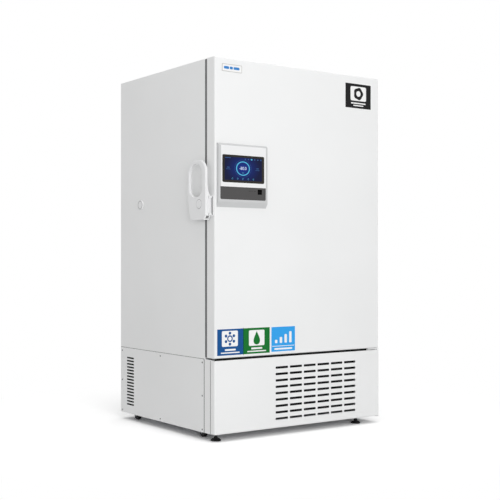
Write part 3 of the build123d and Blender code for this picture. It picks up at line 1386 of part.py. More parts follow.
def switch_rocker():
    """The rocker on its two stub pins."""
    x, y, z = INLET_CENTRE[0] + ROCKER_X, BACK - ROCKER[2] / 2, INLET_CENTRE[1]
    half = ROCKER[1] / 2 - 2 * ROCKER_GAP
    side = outline((y - ROCKER_DEPTH, z - half + ROCKER_CUT), (y + ROCKER_RIDGE[0], z - half),
                   (y + ROCKER_RIDGE[1], z), (y + ROCKER_RIDGE[2], z + half),
                   (y - ROCKER_DEPTH, z + half - ROCKER_CUT))
    rocker = from_left(side, *around(x, ROCKER[0] / 2))
    pin_x = around(x, ROCKER[0] / 2 + ROCKER_PIN)
    return rocker + rod((pin_x[0], y, z), (pin_x[1], y, z), ROCKER_PIN_R)


def port_cap():
    """The cover of the access port with its soft plug."""
    cap = rod((LEFT - PORT_CAP[1], *PORT_CENTRE), (LEFT, *PORT_CENTRE), PORT_CAP[0])
    cap = chamfer(cap.edges().sort_by(Axis.X)[0], PORT_CAP[1] / 2)
    plug_end = (LEFT + PORT_PLUG_LENGTH, *PORT_CENTRE)
    return cap + rod((LEFT, *PORT_CENTRE), plug_end, PORT_R - PORT_PLUG_CLEAR)


def with_port_hole(panel):
    """The left side sheet opened for the access port."""
    return panel - port_bore(PORT_R + PORT_WALL)


NODES = {
    "left_side_panel": with_port_hole(left_side_panel()),
    "right_side_panel": mirrored(left_side_panel()),
    "top_panel": top_panel(),
    "bottom_panel": bottom_panel(),
    "rear_panel": rear_panel(),
    "cabinet_insulation": cabinet_insulation(),
    "vacuum_panels": vacuum_panels(),
    "inner_liner": inner_liner(),
    "breaker_frame": breaker_frame(),
    "inner_divider": inner_divider(),
    "shelves": shelves(),
    "shelf_rails": shelf_rails(),
    "evaporator_coil": evaporator_coil(),
    "port_sleeve": port_sleeve(),
    "port_cap": port_cap(),
    "inner_door_upper": inner_door(True),
    "inner_door_lower": inner_door(False),
    "door_skin": door_skin(),
    "door_liner": door_liner(),
    "door_insulation": door_insulation(),
    "door_gasket": door_gasket(),
    "door_hinge_leaves": door_hinge_leaves(),
    "display_housing": display_housing(),
    "touch_screen": screen_space(GLASS_SINK),
    "reader_strip": strip_space(GLASS_SINK),
    "handle_base": handle_base(),
    "handle_lever": handle_lever(),
    "lock_cylinder": lock_cylinder(),
    "latch_keeper": latch_keeper(),
    "hinge_brackets": hinge_brackets(),
    "hinge_pins": hinge_pins(),
    "service_panel": service_panel(),
    "front_frame": front_frame(),
    "lower_side_panels": lower_side_panels(),
    "lower_rear_panel": lower_rear_panel(),
    "base_frame": base_frame(),
    "condenser": condenser(),
    "fan_shroud": fan_shroud(),
    "fan_motor": fan_motor(),
    "fan_blades": fan_blades(),
    "dust_filter": dust_filter(),
    "compressor_low_stage": compressor(COMPRESSOR_X[0]),
    "compressor_high_stage": compressor(COMPRESSOR_X[1]),
    "oil_separator": oil_separator(),
    "cascade_heat_exchanger": cascade_heat_exchanger(),
    "filter_drier": filter_drier(),
    "refrigerant_lines": refrigerant_lines(),
    "control_box": control_box(),
    "power_inlet": power_inlet(),
    "switch_rocker": switch_rocker(),
    "foot_left": levelling_foot(FOOT_X[0]),
    "foot_right": levelling_foot(FOOT_X[1]),
}

CORNER_NAMES = ("front_left", "front_right", "rear_left", "rear_right")
for name, corner in zip(CORNER_NAMES, caster_corners()):
    NODES["caster_fork_" + name] = caster_fork(corner)
    NODES["caster_wheel_" + name] = caster_wheel(corner)

os.makedirs("parts", exist_ok=True)
for name, shape in NODES.items():
    if isinstance(shape, list):
        shape = Compound(children=[Compound(children=s.solids()) if len(s.solids()) > 1 else s.solids()[0]
                                   for s in shape])
    export_step(shape, f"parts/{name}.step")
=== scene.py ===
import math

import bmesh
import bpy
import numpy as np
from bpy.props import (
    FloatProperty, FloatVectorProperty, IntProperty, PointerProperty, StringProperty)
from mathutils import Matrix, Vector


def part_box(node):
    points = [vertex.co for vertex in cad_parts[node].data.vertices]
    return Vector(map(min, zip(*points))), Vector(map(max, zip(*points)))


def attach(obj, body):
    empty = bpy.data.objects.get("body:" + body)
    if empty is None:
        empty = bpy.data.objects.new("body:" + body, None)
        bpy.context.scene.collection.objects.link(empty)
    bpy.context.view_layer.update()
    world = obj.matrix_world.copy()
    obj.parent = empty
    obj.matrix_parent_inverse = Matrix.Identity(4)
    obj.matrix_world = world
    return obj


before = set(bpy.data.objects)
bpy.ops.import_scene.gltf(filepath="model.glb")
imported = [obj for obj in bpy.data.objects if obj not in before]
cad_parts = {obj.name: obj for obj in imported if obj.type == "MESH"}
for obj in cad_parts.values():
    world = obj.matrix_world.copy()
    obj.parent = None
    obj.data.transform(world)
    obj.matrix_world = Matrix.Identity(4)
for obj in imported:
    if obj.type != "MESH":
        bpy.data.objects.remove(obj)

bl_info = {
    "name": "Ultra low temperature freezer",
    "version": (1, 0, 0),
    "blender": (4, 5, 0),
    "location": "View3D > Sidebar > Freezer",
    "description": "Dresses the packed freezer with finishes, marks, screws and a studio",
    "category": "Object",
}

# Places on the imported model, in metres
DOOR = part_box("door_skin")
CASE_LEFT, DOOR_FACE, DOOR_BACK = DOOR[0].x, DOOR[0].y, DOOR[1].y
CASE_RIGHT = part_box("right_side_panel")[1].x
CASE_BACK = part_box("lower_rear_panel")[1].y
GLASS_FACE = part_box("touch_screen")[0].y
STRIP_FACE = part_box("reader_strip")[0].y
HOUSING_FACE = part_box("display_housing")[0].y
LEVER_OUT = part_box("handle_lever")[0].x
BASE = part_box("handle_base")
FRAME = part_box("front_frame")
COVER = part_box("service_panel")
SIDE_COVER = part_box("lower_side_panels")
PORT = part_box("port_cap")
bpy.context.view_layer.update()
# The front of the handle's web, and the back end of the gap between the door and the case
WEB_FACE = DOOR_FACE + 0.029
FRONT_GAP_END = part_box("breaker_frame")[0].y - 0.0006

# Proud heights of the thin pieces and the bevels on them, in metres
FILM, PLATE = 0.0003, 0.0008
FILM_BEVEL, PLATE_BEVEL = FILM / 6, 0.0001
# How far a thin piece goes into what carries it, and a mesh screen's depth behind the slots
SEAT, SCREEN_IN = 0.00005, 0.0025
SCREW_RADIUS = 0.0046


# Settings


def colour_setting(name, description, default):
    """A colour that a user may change."""
    return FloatVectorProperty(
        name=name, description=description, size=3, default=default, subtype="COLOR")


class FreezerViewSettings(bpy.types.PropertyGroup):
    """Where the photograph was taken from"""

    lens: FloatProperty(
        name="Lens", description="Focal length on a sensor 36 mm wide", default=72.17,
        unit="CAMERA")
    place: FloatVectorProperty(
        name="Place", description="The camera's place", size=3, default=(-3.398, -4.779, 0.946),
        subtype="TRANSLATION", unit="LENGTH")
    turn: FloatProperty(
        name="Turn", description="How far the camera turns to the right from facing the door",
        default=math.radians(35.54), subtype="ANGLE")
    rise: FloatProperty(
        name="Rise", description="Upward shift of the frame, as a share of its width",
        default=0.0174)


class FreezerStudioSettings(bpy.types.PropertyGroup):
    """The floor and the soft lamps"""

    floor_size: FloatProperty(
        name="Floor size", description="Side of the square floor", default=14.0, unit="LENGTH")
    floor_colour: colour_setting("Floor colour", "Colour of the floor", (0.76, 0.76, 0.76))
    floor_lift: FloatProperty(
        name="Floor lift", description="How much brighter the floor is to the camera", default=1.7)
    sky: FloatProperty(
        name="Sky", description="Strength of the even light from all round", default=0.525)
    front_watts: FloatProperty(
        name="Front lamp", description="Power of the wide lamp in front of the door", default=165.0,
        unit="POWER")
    side_watts: FloatProperty(
        name="Side lamp", description="Power of the wide lamp on the left", default=8.0,
        unit="POWER")
    top_watts: FloatProperty(
        name="Top lamp", description="Power of the wide lamp overhead", default=110.0, unit="POWER")


class FreezerFinishSettings(bpy.types.PropertyGroup):
    """Colours of the finishes"""

    paint: colour_setting(
        "Case paint", "Semi-gloss paint of the case and the outer door", (0.83, 0.835, 0.835))
    moulding: colour_setting(
        "White moulding", "Plastic of the handle and the display's face", (0.80, 0.805, 0.81))
    housing: colour_setting(
        "Display housing", "Plastic round the white face of the display", (0.55, 0.555, 0.56))
    gasket: colour_setting("Gasket", "Soft seal of the outer door", (0.045, 0.046, 0.048))
    strip: colour_setting("Dark strip", "Strip under the screen", (0.055, 0.053, 0.053))
    screen_border: colour_setting(
        "Screen border", "Printed border of the screen's glass", (0.028, 0.026, 0.023))
    # Near-black colour of the strips laid in the seams and gaps of the covers: painted shade where the
    # gaps fall dark
    seam: colour_setting("Seam", "Dark seals in the seams of the covers", (0.012, 0.012, 0.012))
    black: colour_setting("Black paint", "Compressors, fan and shroud", (0.02, 0.021, 0.022))


class FreezerMarkSettings(bpy.types.PropertyGroup):
    """Colours of the unlettered labels and the screen picture"""

    blue: colour_setting("Blue label", "First label", (0.009, 0.082, 0.27))
    green: colour_setting("Green label", "Second label", (0.006, 0.155, 0.024))
    sky_blue: colour_setting("Light blue label", "Third label", (0.035, 0.35, 0.80))
    white: colour_setting("Label white", "Print on the labels", (0.86, 0.86, 0.86))
    silver: colour_setting("Badge", "Bare badge plate", (0.74, 0.72, 0.66))
    readout: StringProperty(
        name="Readout", description="Generic temperature shown on the screen", default="-80.0")
    corner_steps: IntProperty(
        name="Corner steps", description="Points round each rounded corner", default=6, min=2)


# Surfaces


def rounded_outline(width, height, radius, steps=6):
    """Four quarter circles of one radius about the corners of a rectangle, joined by straights.

    Each corner's points are centre + radius * (cos a, sin a), with a over its quarter turn."""
    corners = np.array([[1, 1], [-1, 1], [-1, -1], [1, -1]], float)
    centres = corners * (np.array([width, height]) / 2 - radius)
    angles = np.linspace(0, math.pi / 2, steps) + np.arange(4)[:, None] * math.pi / 2
    ring = np.stack([np.cos(angles), np.sin(angles)], axis=-1) * radius + centres[:, None, :]
    return ring.reshape(-1, 2)


def wavy_outline(radius, share, lobes, steps=96):
    """A circle whose radius swells and shrinks: radius * (1 + share * cos(lobes * a))."""
    angles = np.linspace(0, 2 * math.pi, steps, endpoint=False)
    reach = radius * (1 + share * np.cos(lobes * angles))
    return np.stack([reach * np.cos(angles), reach * np.sin(angles)], axis=-1)


def circle(radius, steps=96):
    """A circle: radius * (cos a, sin a)."""
    return wavy_outline(radius, 0, 1, steps)


def drop_outline(radius, steps=64):
    """A drop, round below and pointed above: x = r sin a sin(a/2)^1.5, z = 1.2 r cos a."""
    angles = np.linspace(0, 2 * math.pi, steps, endpoint=False)
    width = np.abs(np.sin(angles / 2)) ** 1.5
    return np.stack([radius * np.sin(angles) * width, 1.2 * radius * np.cos(angles)], axis=-1)


def facing(axis, sign):
    """Points on a face square to an axis (0 for X, 1 for Y): base + sign * out along that axis.

    u runs along the other level axis and v along Z."""
    def points(u, v, out, base):
        along = base + sign * out
        places = (along, u, v) if axis == 0 else (u, along, v)
        return np.stack(np.broadcast_arrays(*places), axis=-1)
    return points


facing_front = facing(1, -1)
facing_back = facing(1, 1)
facing_left = facing(0, -1)
facing_right = facing(0, 1)


def quads(rings, count, closed):
    """Corner numbers of the quads between neighbouring rings of count points each."""
    lower = np.arange(rings if closed else rings - 1)[:, None] * count
    here = np.arange(count)[None, :]
    after = (here + 1) % count
    upper = (lower + count) % (rings * count)
    corners = [lower + here, lower + after, upper + after, upper + here]
    return np.stack(corners, axis=-1).reshape(-1, 4)


def capped(rings, count):
    """Corner numbers of a stack of rings closed by a pole at each end, the poles numbered last."""
    here = np.arange(count)
    after = (here + 1) % count
    total = rings * count
    top = total - count
    first = np.stack([after, here, np.full(count, total)], axis=-1)
    last = np.stack([top + here, top + after, np.full(count, total + 1)], axis=-1)
    return quads(rings, count, closed=False).tolist() + first.tolist() + last.tolist()


def new_mesh(name, points, faces, smooth=False):
    """An object from an array of points and a list of corner numbers, its faces turned outwards."""
    mesh = bpy.data.meshes.new(name)
    mesh.from_pydata(points.tolist(), [], faces)
    work = bmesh.new()
    work.from_mesh(mesh)
    bmesh.ops.recalc_face_normals(work, faces=work.faces)
    work.to_mesh(mesh)
    work.free()
    mesh.polygons.foreach_set("use_smooth", np.full(len(mesh.polygons), smooth))
    piece = bpy.data.objects.new(name, mesh)
    bpy.context.scene.collection.objects.link(piece)
    return piece


def poles_at(centre, low, high, face, base):
    """The middle points of a piece's two ends."""
    return face(*centre, np.array([low, high]), base)


def plate(name, outline, centre, height, face, base, bevel):
    """A thin solid plate with a small bevel, closed at its front and back.

    A ring is centre + outline * (1 - inset / reach), where reach is the outline's nearest point."""
    levels, insets = np.array([[-SEAT], [height - bevel], [height]]), np.array([[0], [0], [bevel]])
    scale = 1 - insets / np.linalg.norm(outline, axis=1).min()
    u, v = (centre[i] + outline[None, :, i] * scale for i in range(2))
    poles = poles_at(centre, -SEAT, height, face, base)
    points = np.concatenate([face(u, v, levels, base).reshape(-1, 3), poles])
    return new_mesh(name, points, capped(len(levels), len(outline)))


def hoop(name, outer, inner, centre, height, face, base):
    """A flat ring between two outlines with the same number of points.

    The outer line and the inner one are each drawn low and high, and the four are joined in a loop."""
    low, high = -SEAT, height
    order = ((outer, low), (outer, high), (inner, high), (inner, low))
    rings = [face(centre[0] + line[:, 0], centre[1] + line[:, 1], out, base) for line, out in order]
    return new_mesh(name, np.concatenate(rings), quads(4, len(outer), closed=True).tolist())


def screw_head(name, centre, face, base, radius=SCREW_RADIUS):
    """A pan head with a cross recess, on a polar grid.

    The height is h * (1 - (r / R)^4), less the recess where the point lies in either bar of the
    cross; the rim drops to the seat at r = R."""
    rings, count, tall = 9, 24, radius * 0.45
    share = np.linspace(1, 0.12, rings)[:, None]
    angles = np.linspace(0, 2 * math.pi, count, endpoint=False)[None, :]
    u, v = radius * share * np.cos(angles), radius * share * np.sin(angles)
    low = np.minimum(np.abs(u), np.abs(v)) < radius * 0.13
    within = np.maximum(np.abs(u), np.abs(v)) < radius * 0.55
    out = tall * (1 - share**4) + tall * 0.2 - 0.5 * tall * (low & within)
    grid = face(centre[0] + u, centre[1] + v, out, base)
    seat = face(centre[0] + u[:1], centre[1] + v[:1], -SEAT, base)
    poles = poles_at(centre, -SEAT, tall * 0.7, face, base)
    points = np.concatenate([seat.reshape(-1, 3), grid.reshape(-1, 3), poles])
    return new_mesh(name, points, capped(rings + 1, count), smooth=True)


# Finishes


class Nodes:
    """A material's node tree with short calls to add and link nodes."""

    def __init__(self, name):
        self.material = bpy.data.materials.new(name)
        self.material.use_nodes = True
        self.tree = self.material.node_tree
        self.shader = self.tree.nodes["Principled BSDF"]
        self.here = self.place()

    def fill(self, node, values):
        """Sets a node's options and inputs, and links the inputs that are given a socket."""
        for key, value in values.items():
            place = key.replace("_", " ")
            if place not in node.inputs:
                setattr(node, key, value)
            elif isinstance(value, bpy.types.NodeSocket):
                self.link(value, node.inputs[place])
            else:
                node.inputs[place].default_value = value
        return node

    def add(self, kind, **values):
        return self.fill(self.tree.nodes.new(kind), values)

    def surface(self, **values):
        """Fills the shader's own inputs."""
        self.fill(self.shader, values)
        return self

    def link(self, source, target):
        self.tree.links.new(source, target)

    def place(self, **values):
        """Object coordinates through a mapping."""
        where = self.add("ShaderNodeTexCoord").outputs["Object"]
        return self.add("ShaderNodeMapping", Vector=where, **values).outputs["Vector"]

    def noise(self, scale, detail=3.0, rough=0.5, vector=None):
        where = self.here if vector is None else vector
        node = self.add(
            "ShaderNodeTexNoise", Vector=where, Scale=scale, Detail=detail, Roughness=rough)
        return node.outputs["Fac"]

    def ramp(self, value, *stops):
        """A colour ramp through pairs of place and colour."""
        node = self.add("ShaderNodeValToRGB", Fac=value)
        parts = node.color_ramp.elements
        while len(parts) < len(stops):
            parts.new(0.5)
        for part, (place, colour) in zip(parts, stops):
            part.position = place
            part.color = (*colour, 1)
        return node.outputs["Color"]

    def tint(self, value, colour, dark, light, low=0.3, high=0.7):
        """The base colour, running from a darker to a lighter share of itself with a value."""
        stops = (low, shaded(colour, dark)), (high, shaded(colour, light))
        self.surface(Base_Color=self.ramp(value, *stops))

    def gloss(self, value, low, high):
        """Roughness spread between two values."""
        spread = self.add("ShaderNodeMapRange", Value=value, To_Min=low, To_Max=high)
        self.surface(Roughness=spread.outputs["Result"])

    def bump(self, height, distance):
        node = self.add("ShaderNodeBump", Height=height, Distance=distance)
        self.surface(Normal=node.outputs["Normal"])

    def fed(self, node, *sources):
        """A node's first output, its inputs given in their order as numbers or sockets."""
        for source, place in zip(sources, node.inputs):
            if isinstance(source, float):
                place.default_value = source
            else:
                self.link(source, place)
        return node.outputs[0]

    def math(self, operation, *sources):
        return self.fed(self.add("ShaderNodeMath", operation=operation), *sources)

    def blend(self, share, first, second):
        """Two shaders mixed by a share."""
        return self.fed(self.add("ShaderNodeMixShader"), share, first, second)


def shaded(colour, share):
    """A colour made lighter or darker by a share."""
    return tuple(min(1.0, max(0.0, c * share)) for c in colour)


def cached(make):
    """Each finish is made once and then found by its name."""
    made = {}

    def found(name, *values, **more):
        if name not in made:
            made[name] = make(name, *values, **more)
        return made[name]

    return found


@cached
def sprayed_paint(name, colour, roughness=0.36, peel=0.00002):
    """Oven-baked paint: a faint orange peel, a slightly uneven tone and uneven gloss."""
    nodes = Nodes(name)
    nodes.tint(nodes.noise(2.2, detail=2), colour, 0.985, 1.01)
    nodes.gloss(nodes.noise(35, detail=4), roughness - 0.05, roughness + 0.06)
    nodes.bump(nodes.noise(420, detail=2), peel)
    return nodes.surface(Specular_IOR_Level=0.45).material


@cached
def moulded_plastic(name, colour, roughness=0.32, grain=0.000015):
    """Injection-moulded plastic with a very fine grain."""
    nodes = Nodes(name)
    nodes.tint(nodes.noise(14, detail=2), colour, 0.98, 1.015)
    nodes.gloss(nodes.noise(160, detail=3), roughness - 0.04, roughness + 0.05)
    nodes.bump(nodes.noise(1500, detail=1), grain)
    return nodes.surface(Specular_IOR_Level=0.5).material


@cached
def two_tone_moulding(name, colour, face_colour, low, high):
    """Moulded plastic of one colour, with a white face where a place lies within a box."""
    nodes = Nodes(name)
    parts = nodes.add("ShaderNodeSeparateXYZ", Vector=nodes.here)
    share = None
    for axis in range(3):
        middle, half = (low[axis] + high[axis]) / 2, (high[axis] - low[axis]) / 2
        inside = nodes.math("COMPARE", parts.outputs[axis], middle, half)
        share = inside if share is None else nodes.math("MULTIPLY", share, inside)
    tone = nodes.noise(14, detail=2)
    mixed = nodes.add("ShaderNodeMix", data_type="RGBA", Factor=share)
    for socket, plain in (("A", colour), ("B", face_colour)):
        colours = nodes.ramp(tone, (0.3, shaded(plain, 0.985)), (0.7, shaded(plain, 1.01)))
        nodes.link(colours, next(i for i in mixed.inputs if i.name == socket and i.type == "RGBA"))
    nodes.surface(Base_Color=next(o for o in mixed.outputs if o.type == "RGBA"))
    nodes.gloss(nodes.noise(160, detail=3), 0.30, 0.38)
    nodes.bump(nodes.noise(1500, detail=1), 0.000015)
    return nodes.surface(Specular_IOR_Level=0.45).material


@cached
def soft_rubber(name, colour, roughness=0.7, gloss=0.4):
    """Matte rubber with a dusty bloom and a fine grain."""
    nodes = Nodes(name)
    bloom = nodes.noise(30, detail=5, rough=0.6)
    nodes.tint(bloom, colour, 1.0, 1.25, low=0.35, high=0.75)
    nodes.gloss(bloom, roughness - 0.1, roughness + 0.12)
    nodes.bump(nodes.noise(900, detail=2), 0.00004)
    return nodes.surface(Specular_IOR_Level=gloss).material


@cached
def brushed_metal(name, colour, roughness=0.34, lines=(900, 900, 12)):
    """Metal with fine lines along the direction whose scale is smallest."""
    nodes = Nodes(name)
    streaks = nodes.noise(1.0, detail=4, rough=0.65, vector=nodes.place(Scale=lines))
    nodes.tint(nodes.noise(5, detail=3), colour, 0.94, 1.04)
    nodes.gloss(streaks, roughness - 0.08, roughness + 0.12)
    nodes.bump(streaks, 0.00002)
    return nodes.surface(Metallic=1.0).material


@cached
def zinc_plate(name, colour, roughness=0.42):
    """Zinc-plated steel with faint crystal patches."""
    nodes = Nodes(name)
    spangle = nodes.add("ShaderNodeTexVoronoi", Vector=nodes.here, Scale=70.0)
    value = nodes.add("ShaderNodeSeparateColor", Color=spangle.outputs["Color"]).outputs["Red"]
    nodes.tint(value, colour, 0.85, 1.08, low=0.0, high=1.0)
    nodes.gloss(value, roughness - 0.08, roughness + 0.1)
    return nodes.surface(Metallic=0.9).material


@cached
def bright_copper(name, colour, roughness=0.28):
    """Drawn copper tube with a patchy tarnish."""
    nodes = Nodes(name)
    tarnish = nodes.noise(40, detail=6, rough=0.6)
    stops = (0.35, colour), (0.62, shaded(colour, 0.72)), (0.8, (0.25, 0.12, 0.07))
    nodes.gloss(tarnish, roughness, roughness + 0.3)
    return nodes.surface(Base_Color=nodes.ramp(tarnish, *stops), Metallic=1.0).material


@cached
def blown_foam(name, colour):
    """Rigid foam, with cells that show as a fine pitted skin."""
    nodes = Nodes(name)
    cells = nodes.add("ShaderNodeTexVoronoi", Vector=nodes.here, Scale=420.0)
    nodes.tint(nodes.noise(9, detail=4), colour, 0.88, 1.06)
    nodes.bump(cells.outputs["Distance"], 0.0003)
    return nodes.surface(Roughness=0.85).material


@cached
def filter_mesh(name, colour):
    """Open woven mesh: two sets of threads crossing, with dark gaps between them."""
    nodes = Nodes(name)
    waves = [nodes.add("ShaderNodeTexWave", Vector=nodes.here, Scale=240.0, bands_direction=axis)
             for axis in "XZ"]
    both = nodes.math("MAXIMUM", *(wave.outputs["Fac"] for wave in waves))
    nodes.tint(both, colour, 0.2, 1.0, low=0.55, high=0.8)
    nodes.bump(both, 0.0006)
    return nodes.surface(Roughness=0.8, Specular_IOR_Level=0.1).material


@cached
def finned_metal(name, colour):
    """Aluminium fins seen edge on: fine upright lines, darker between the fins as painted shade and
    brighter at their edges as painted highlight.
    """
    nodes = Nodes(name)
    lines = nodes.add("ShaderNodeTexWave", Vector=nodes.here, Scale=160.0, bands_direction="X")
    nodes.tint(lines.outputs["Fac"], colour, 0.35, 1.0, high=0.75)
    nodes.bump(lines.outputs["Fac"], 0.0004)
    return nodes.surface(Metallic=0.85, Roughness=0.45).material


@cached
def dark_glass(name, colour):
    """The screen's cover glass over its printed border."""
    nodes = Nodes(name)
    nodes.gloss(nodes.noise(60, detail=5, rough=0.6), 0.06, 0.16)
    nodes.tint(nodes.noise(25, detail=2), colour, 0.95, 1.05)
    return nodes.surface(Specular_IOR_Level=0.1).material


@cached
def printed_film(name, colour):
    """Ink on a smooth label film, with a slight unevenness of the print."""
    nodes = Nodes(name)
    nodes.tint(nodes.noise(220, detail=3), colour, 0.96, 1.03)
    nodes.gloss(nodes.noise(80, detail=2), 0.40, 0.50)
    return nodes.surface(Specular_IOR_Level=0.15).material


@cached
def lit_picture(name, centre, reach):
    """The screen's lit ground: bright blue at the readout, falling to near black at the edges.

    The tone follows the distance from the readout's centre, measured on the face."""
    nodes = Nodes(name)
    away = nodes.place(Scale=(1 / reach, 0, 1.35 / reach),
                       Location=(-centre[0] / reach, 0, -1.35 * centre[1] / reach))
    distance = nodes.add("ShaderNodeVectorMath", operation="LENGTH", Vector=away)
    grain = nodes.noise(2500, detail=0)
    colours = nodes.ramp(distance.outputs["Value"], (0.0, (0.004, 0.030, 0.26)),
                         (0.38, (0.003, 0.016, 0.135)), (0.85, (0.003, 0.006, 0.040)))
    dark = nodes.ramp(grain, (0.0, (0.002, 0.002, 0.004)), (1.0, (0.003, 0.003, 0.006)))
    nodes.gloss(grain, 0.10, 0.14)
    nodes.surface(Emission_Color=colours, Base_Color=dark)
    return nodes.surface(Emission_Strength=1.0, Specular_IOR_Level=0.12).material


@cached
def lit_ink(name, colour, strength=0.8):
    """A lit mark on the screen."""
    nodes = Nodes(name)
    tone = nodes.noise(300, detail=1)
    nodes.surface(Emission_Color=nodes.ramp(tone, (0.3, shaded(colour, 0.9)), (0.7, colour)))
    nodes.tint(tone, colour, 0.1, 0.15, low=0, high=1)
    return nodes.surface(Emission_Strength=strength, Roughness=0.2, Specular_IOR_Level=0.2).material


def seen_plainly(tree):
    """1 for a ray from the camera, in gloss or through glass, and 0 for light on things."""
    rays = tree.nodes.new("ShaderNodeLightPath")
    share = rays.outputs["Is Camera Ray"]
    for kind in ("Is Glossy Ray", "Is Transmission Ray"):
        either = tree.nodes.new("ShaderNodeMath")
        either.operation = "MAXIMUM"
        tree.links.new(share, either.inputs[0])
        tree.links.new(rays.outputs[kind], either.inputs[1])
        share = either.outputs[0]
    return share


def dress(piece, finish, body, slot):
    """Gives a new piece its finish and the body it moves with; the slot is not used."""
    piece.data.materials.clear()
    piece.data.materials.append(finish)
    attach(piece, body)


class Face:
    """A flat face that thin pieces lie on: the way it looks, its place, and their body and slot."""

    def __init__(self, looks, base, body, slot):
        self.at, self.held = (looks, base), (body, slot)

    def plate(self, name, outline, centre, height, finish, bevel=FILM_BEVEL):
        dress(plate(name, outline, centre, height, *self.at, bevel), finish, *self.held)

    def hoop(self, name, outer, inner, centre, height, finish):
        dress(hoop(name, outer, inner, centre, height, *self.at), finish, *self.held)


DOOR_FRONT = Face(facing_front, DOOR_FACE, "door", "display_white")
GLASS = Face(facing_front, GLASS_FACE, "door", "screen_glass")
STRIP = Face(facing_front, STRIP_FACE, "door", "strip_grey")


def refinish(node, finish):
    """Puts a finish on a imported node."""
    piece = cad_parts[node]
    if not piece.material_slots:
        piece.data.materials.append(finish)
    for place in piece.material_slots:
        place.material = finish


def joined(name, pieces):
    """Several loose pieces made one object."""
    with bpy.context.temp_override(active_object=pieces[0], selected_editable_objects=pieces):
        bpy.ops.object.join()
    pieces[0].name = name
    pieces[0].data.name = name
    return pieces[0]


def on_door(x, z):
    """A place on the door, from millimetres right of the case's left edge and up from the floor."""
    return CASE_LEFT + x / 1000, z / 1000


def on_side(y, z):
    """A place on a side, from millimetres behind the door's front and up from the floor."""
    return DOOR_FACE + y / 1000, z / 1000


# Operators


class FREEZER_OT_camera(bpy.types.Operator):
    """Set the camera where the photograph was taken from"""

    bl_idname = "freezer.camera"
    bl_label = "Camera"

    def execute(self, context):
        view = context.scene.freezer_view
        data = bpy.data.cameras.new("camera")
        data.sensor_width = 36
        data.lens = view.lens
        data.shift_y = view.rise
        data.clip_end = 100
        camera = bpy.data.objects.new("camera", data)
        camera.location = view.place
        camera.rotation_euler = (math.pi / 2, 0, -view.turn)
        context.scene.collection.objects.link(camera)
        context.scene.camera = camera
        return {"FINISHED"}


# The distances from the middle between which the floor goes over to plain white, in metres
WHITE_FROM = (0.9, 1.9)
# Name, place, the point it is aimed at, and side, in metres
LAMPS = (
    ("front", (-2.4, -6.2, 2.0), (0, 0, 0.9), 3.0),
    ("side", (-5.0, -0.6, 2.6), (-0.5, 0, 1.0), 4.0),
    ("top", (0.0, -0.5, 5.5), (0, 0, 0), 5.0),
)


class FREEZER_OT_studio(bpy.types.Operator):
    """Build the pale floor, the even sky and the soft lamps"""

    bl_idname = "freezer.studio"
    bl_label = "Studio"

    def execute(self, context):
        studio = context.scene.freezer_studio
        self.floor(studio)
        self.sky(context.scene, studio)
        for name, place, target, size in LAMPS:
            self.lamp(f"{name}_lamp", place, target, size, getattr(studio, f"{name}_watts"))
        context.scene.view_settings.view_transform = "Standard"
        return {"FINISHED"}

    def floor(self, studio):
        """A flat square: u and v each run over the side, at height 0."""
        half, across = studio.floor_size / 2, 9
        run = np.linspace(-half, half, across)
        u, v = np.meshgrid(run, run)
        points = np.stack([u, v, np.zeros_like(u)], axis=-1).reshape(-1, 3)
        cells = np.arange(across - 1)
        here = (cells[:, None] * across + cells[None, :]).reshape(-1)
        faces = np.stack([here, here + 1, here + across + 1, here + across], axis=-1).tolist()
        floor = new_mesh("studio_floor", points, faces)
        floor.data.materials.append(self.floor_finish(studio))

    def floor_finish(self, studio):
        """Pale floor that keeps its shadow and goes over to plain white further out."""
        nodes = Nodes("studio_floor")
        tone = nodes.noise(1.5, detail=2)
        base = studio.floor_colour
        colour = nodes.ramp(tone, (0.3, shaded(base, 0.995)), (0.7, shaded(base, 1.005)))
        nodes.surface(Base_Color=colour, Roughness=0.9, Specular_IOR_Level=0.1)
        away = nodes.add("ShaderNodeVectorMath", operation="LENGTH", Vector=nodes.here)
        spread = nodes.add(
            "ShaderNodeMapRange", interpolation_type="SMOOTHSTEP", Value=away.outputs["Value"],
            From_Min=WHITE_FROM[0], From_Max=WHITE_FROM[1])
        seen = seen_plainly(nodes.tree)
        lift = nodes.add(
            "ShaderNodeVectorMath", operation="SCALE", Vector=colour, Scale=studio.floor_lift)
        bright = nodes.add("ShaderNodeBsdfDiffuse", Color=lift.outputs["Vector"])
        lifted = nodes.blend(seen, nodes.shader.outputs[0], bright.outputs[0])
        white = nodes.add("ShaderNodeEmission", Strength=1.0)
        share = nodes.math("MULTIPLY", spread.outputs["Result"], seen)
        mixed = nodes.blend(share, lifted, white.outputs[0])
        nodes.link(mixed, nodes.tree.nodes["Material Output"].inputs["Surface"])
        return nodes.material

    def sky(self, scene, studio):
        """Even grey light, seen as plain white by the camera and in gloss."""
        scene.world = bpy.data.worlds.new("sky")
        scene.world.use_nodes = True
        tree = scene.world.node_tree
        ground = tree.nodes["Background"]
        ground.inputs["Color"].default_value = (1, 1, 1, 1)
        spread = tree.nodes.new("ShaderNodeMapRange")
        spread.inputs["To Min"].default_value = studio.sky
        tree.links.new(seen_plainly(tree), spread.inputs["Value"])
        tree.links.new(spread.outputs["Result"], ground.inputs["Strength"])

    def lamp(self, name, place, target, size, watts):
        """A square soft lamp aimed at a point, kept out of gloss so that no side shines white."""
        data = bpy.data.lights.new(name, "AREA")
        data.size = size
        data.energy = watts
        lamp = bpy.data.objects.new(name, data)
        lamp.location = place
        lamp.visible_glossy = False
        aim = np.array(target, float) - np.array(place, float)
        level = math.hypot(aim[0], aim[1])
        lamp.rotation_euler = (math.atan2(level, -aim[2]), 0, math.atan2(-aim[0], aim[1]))
        bpy.context.scene.collection.objects.link(lamp)


# Lower left and upper right of the display's white face, in millimetres on the door
WHITE_FACE = (27, 1318), (313, 1531)


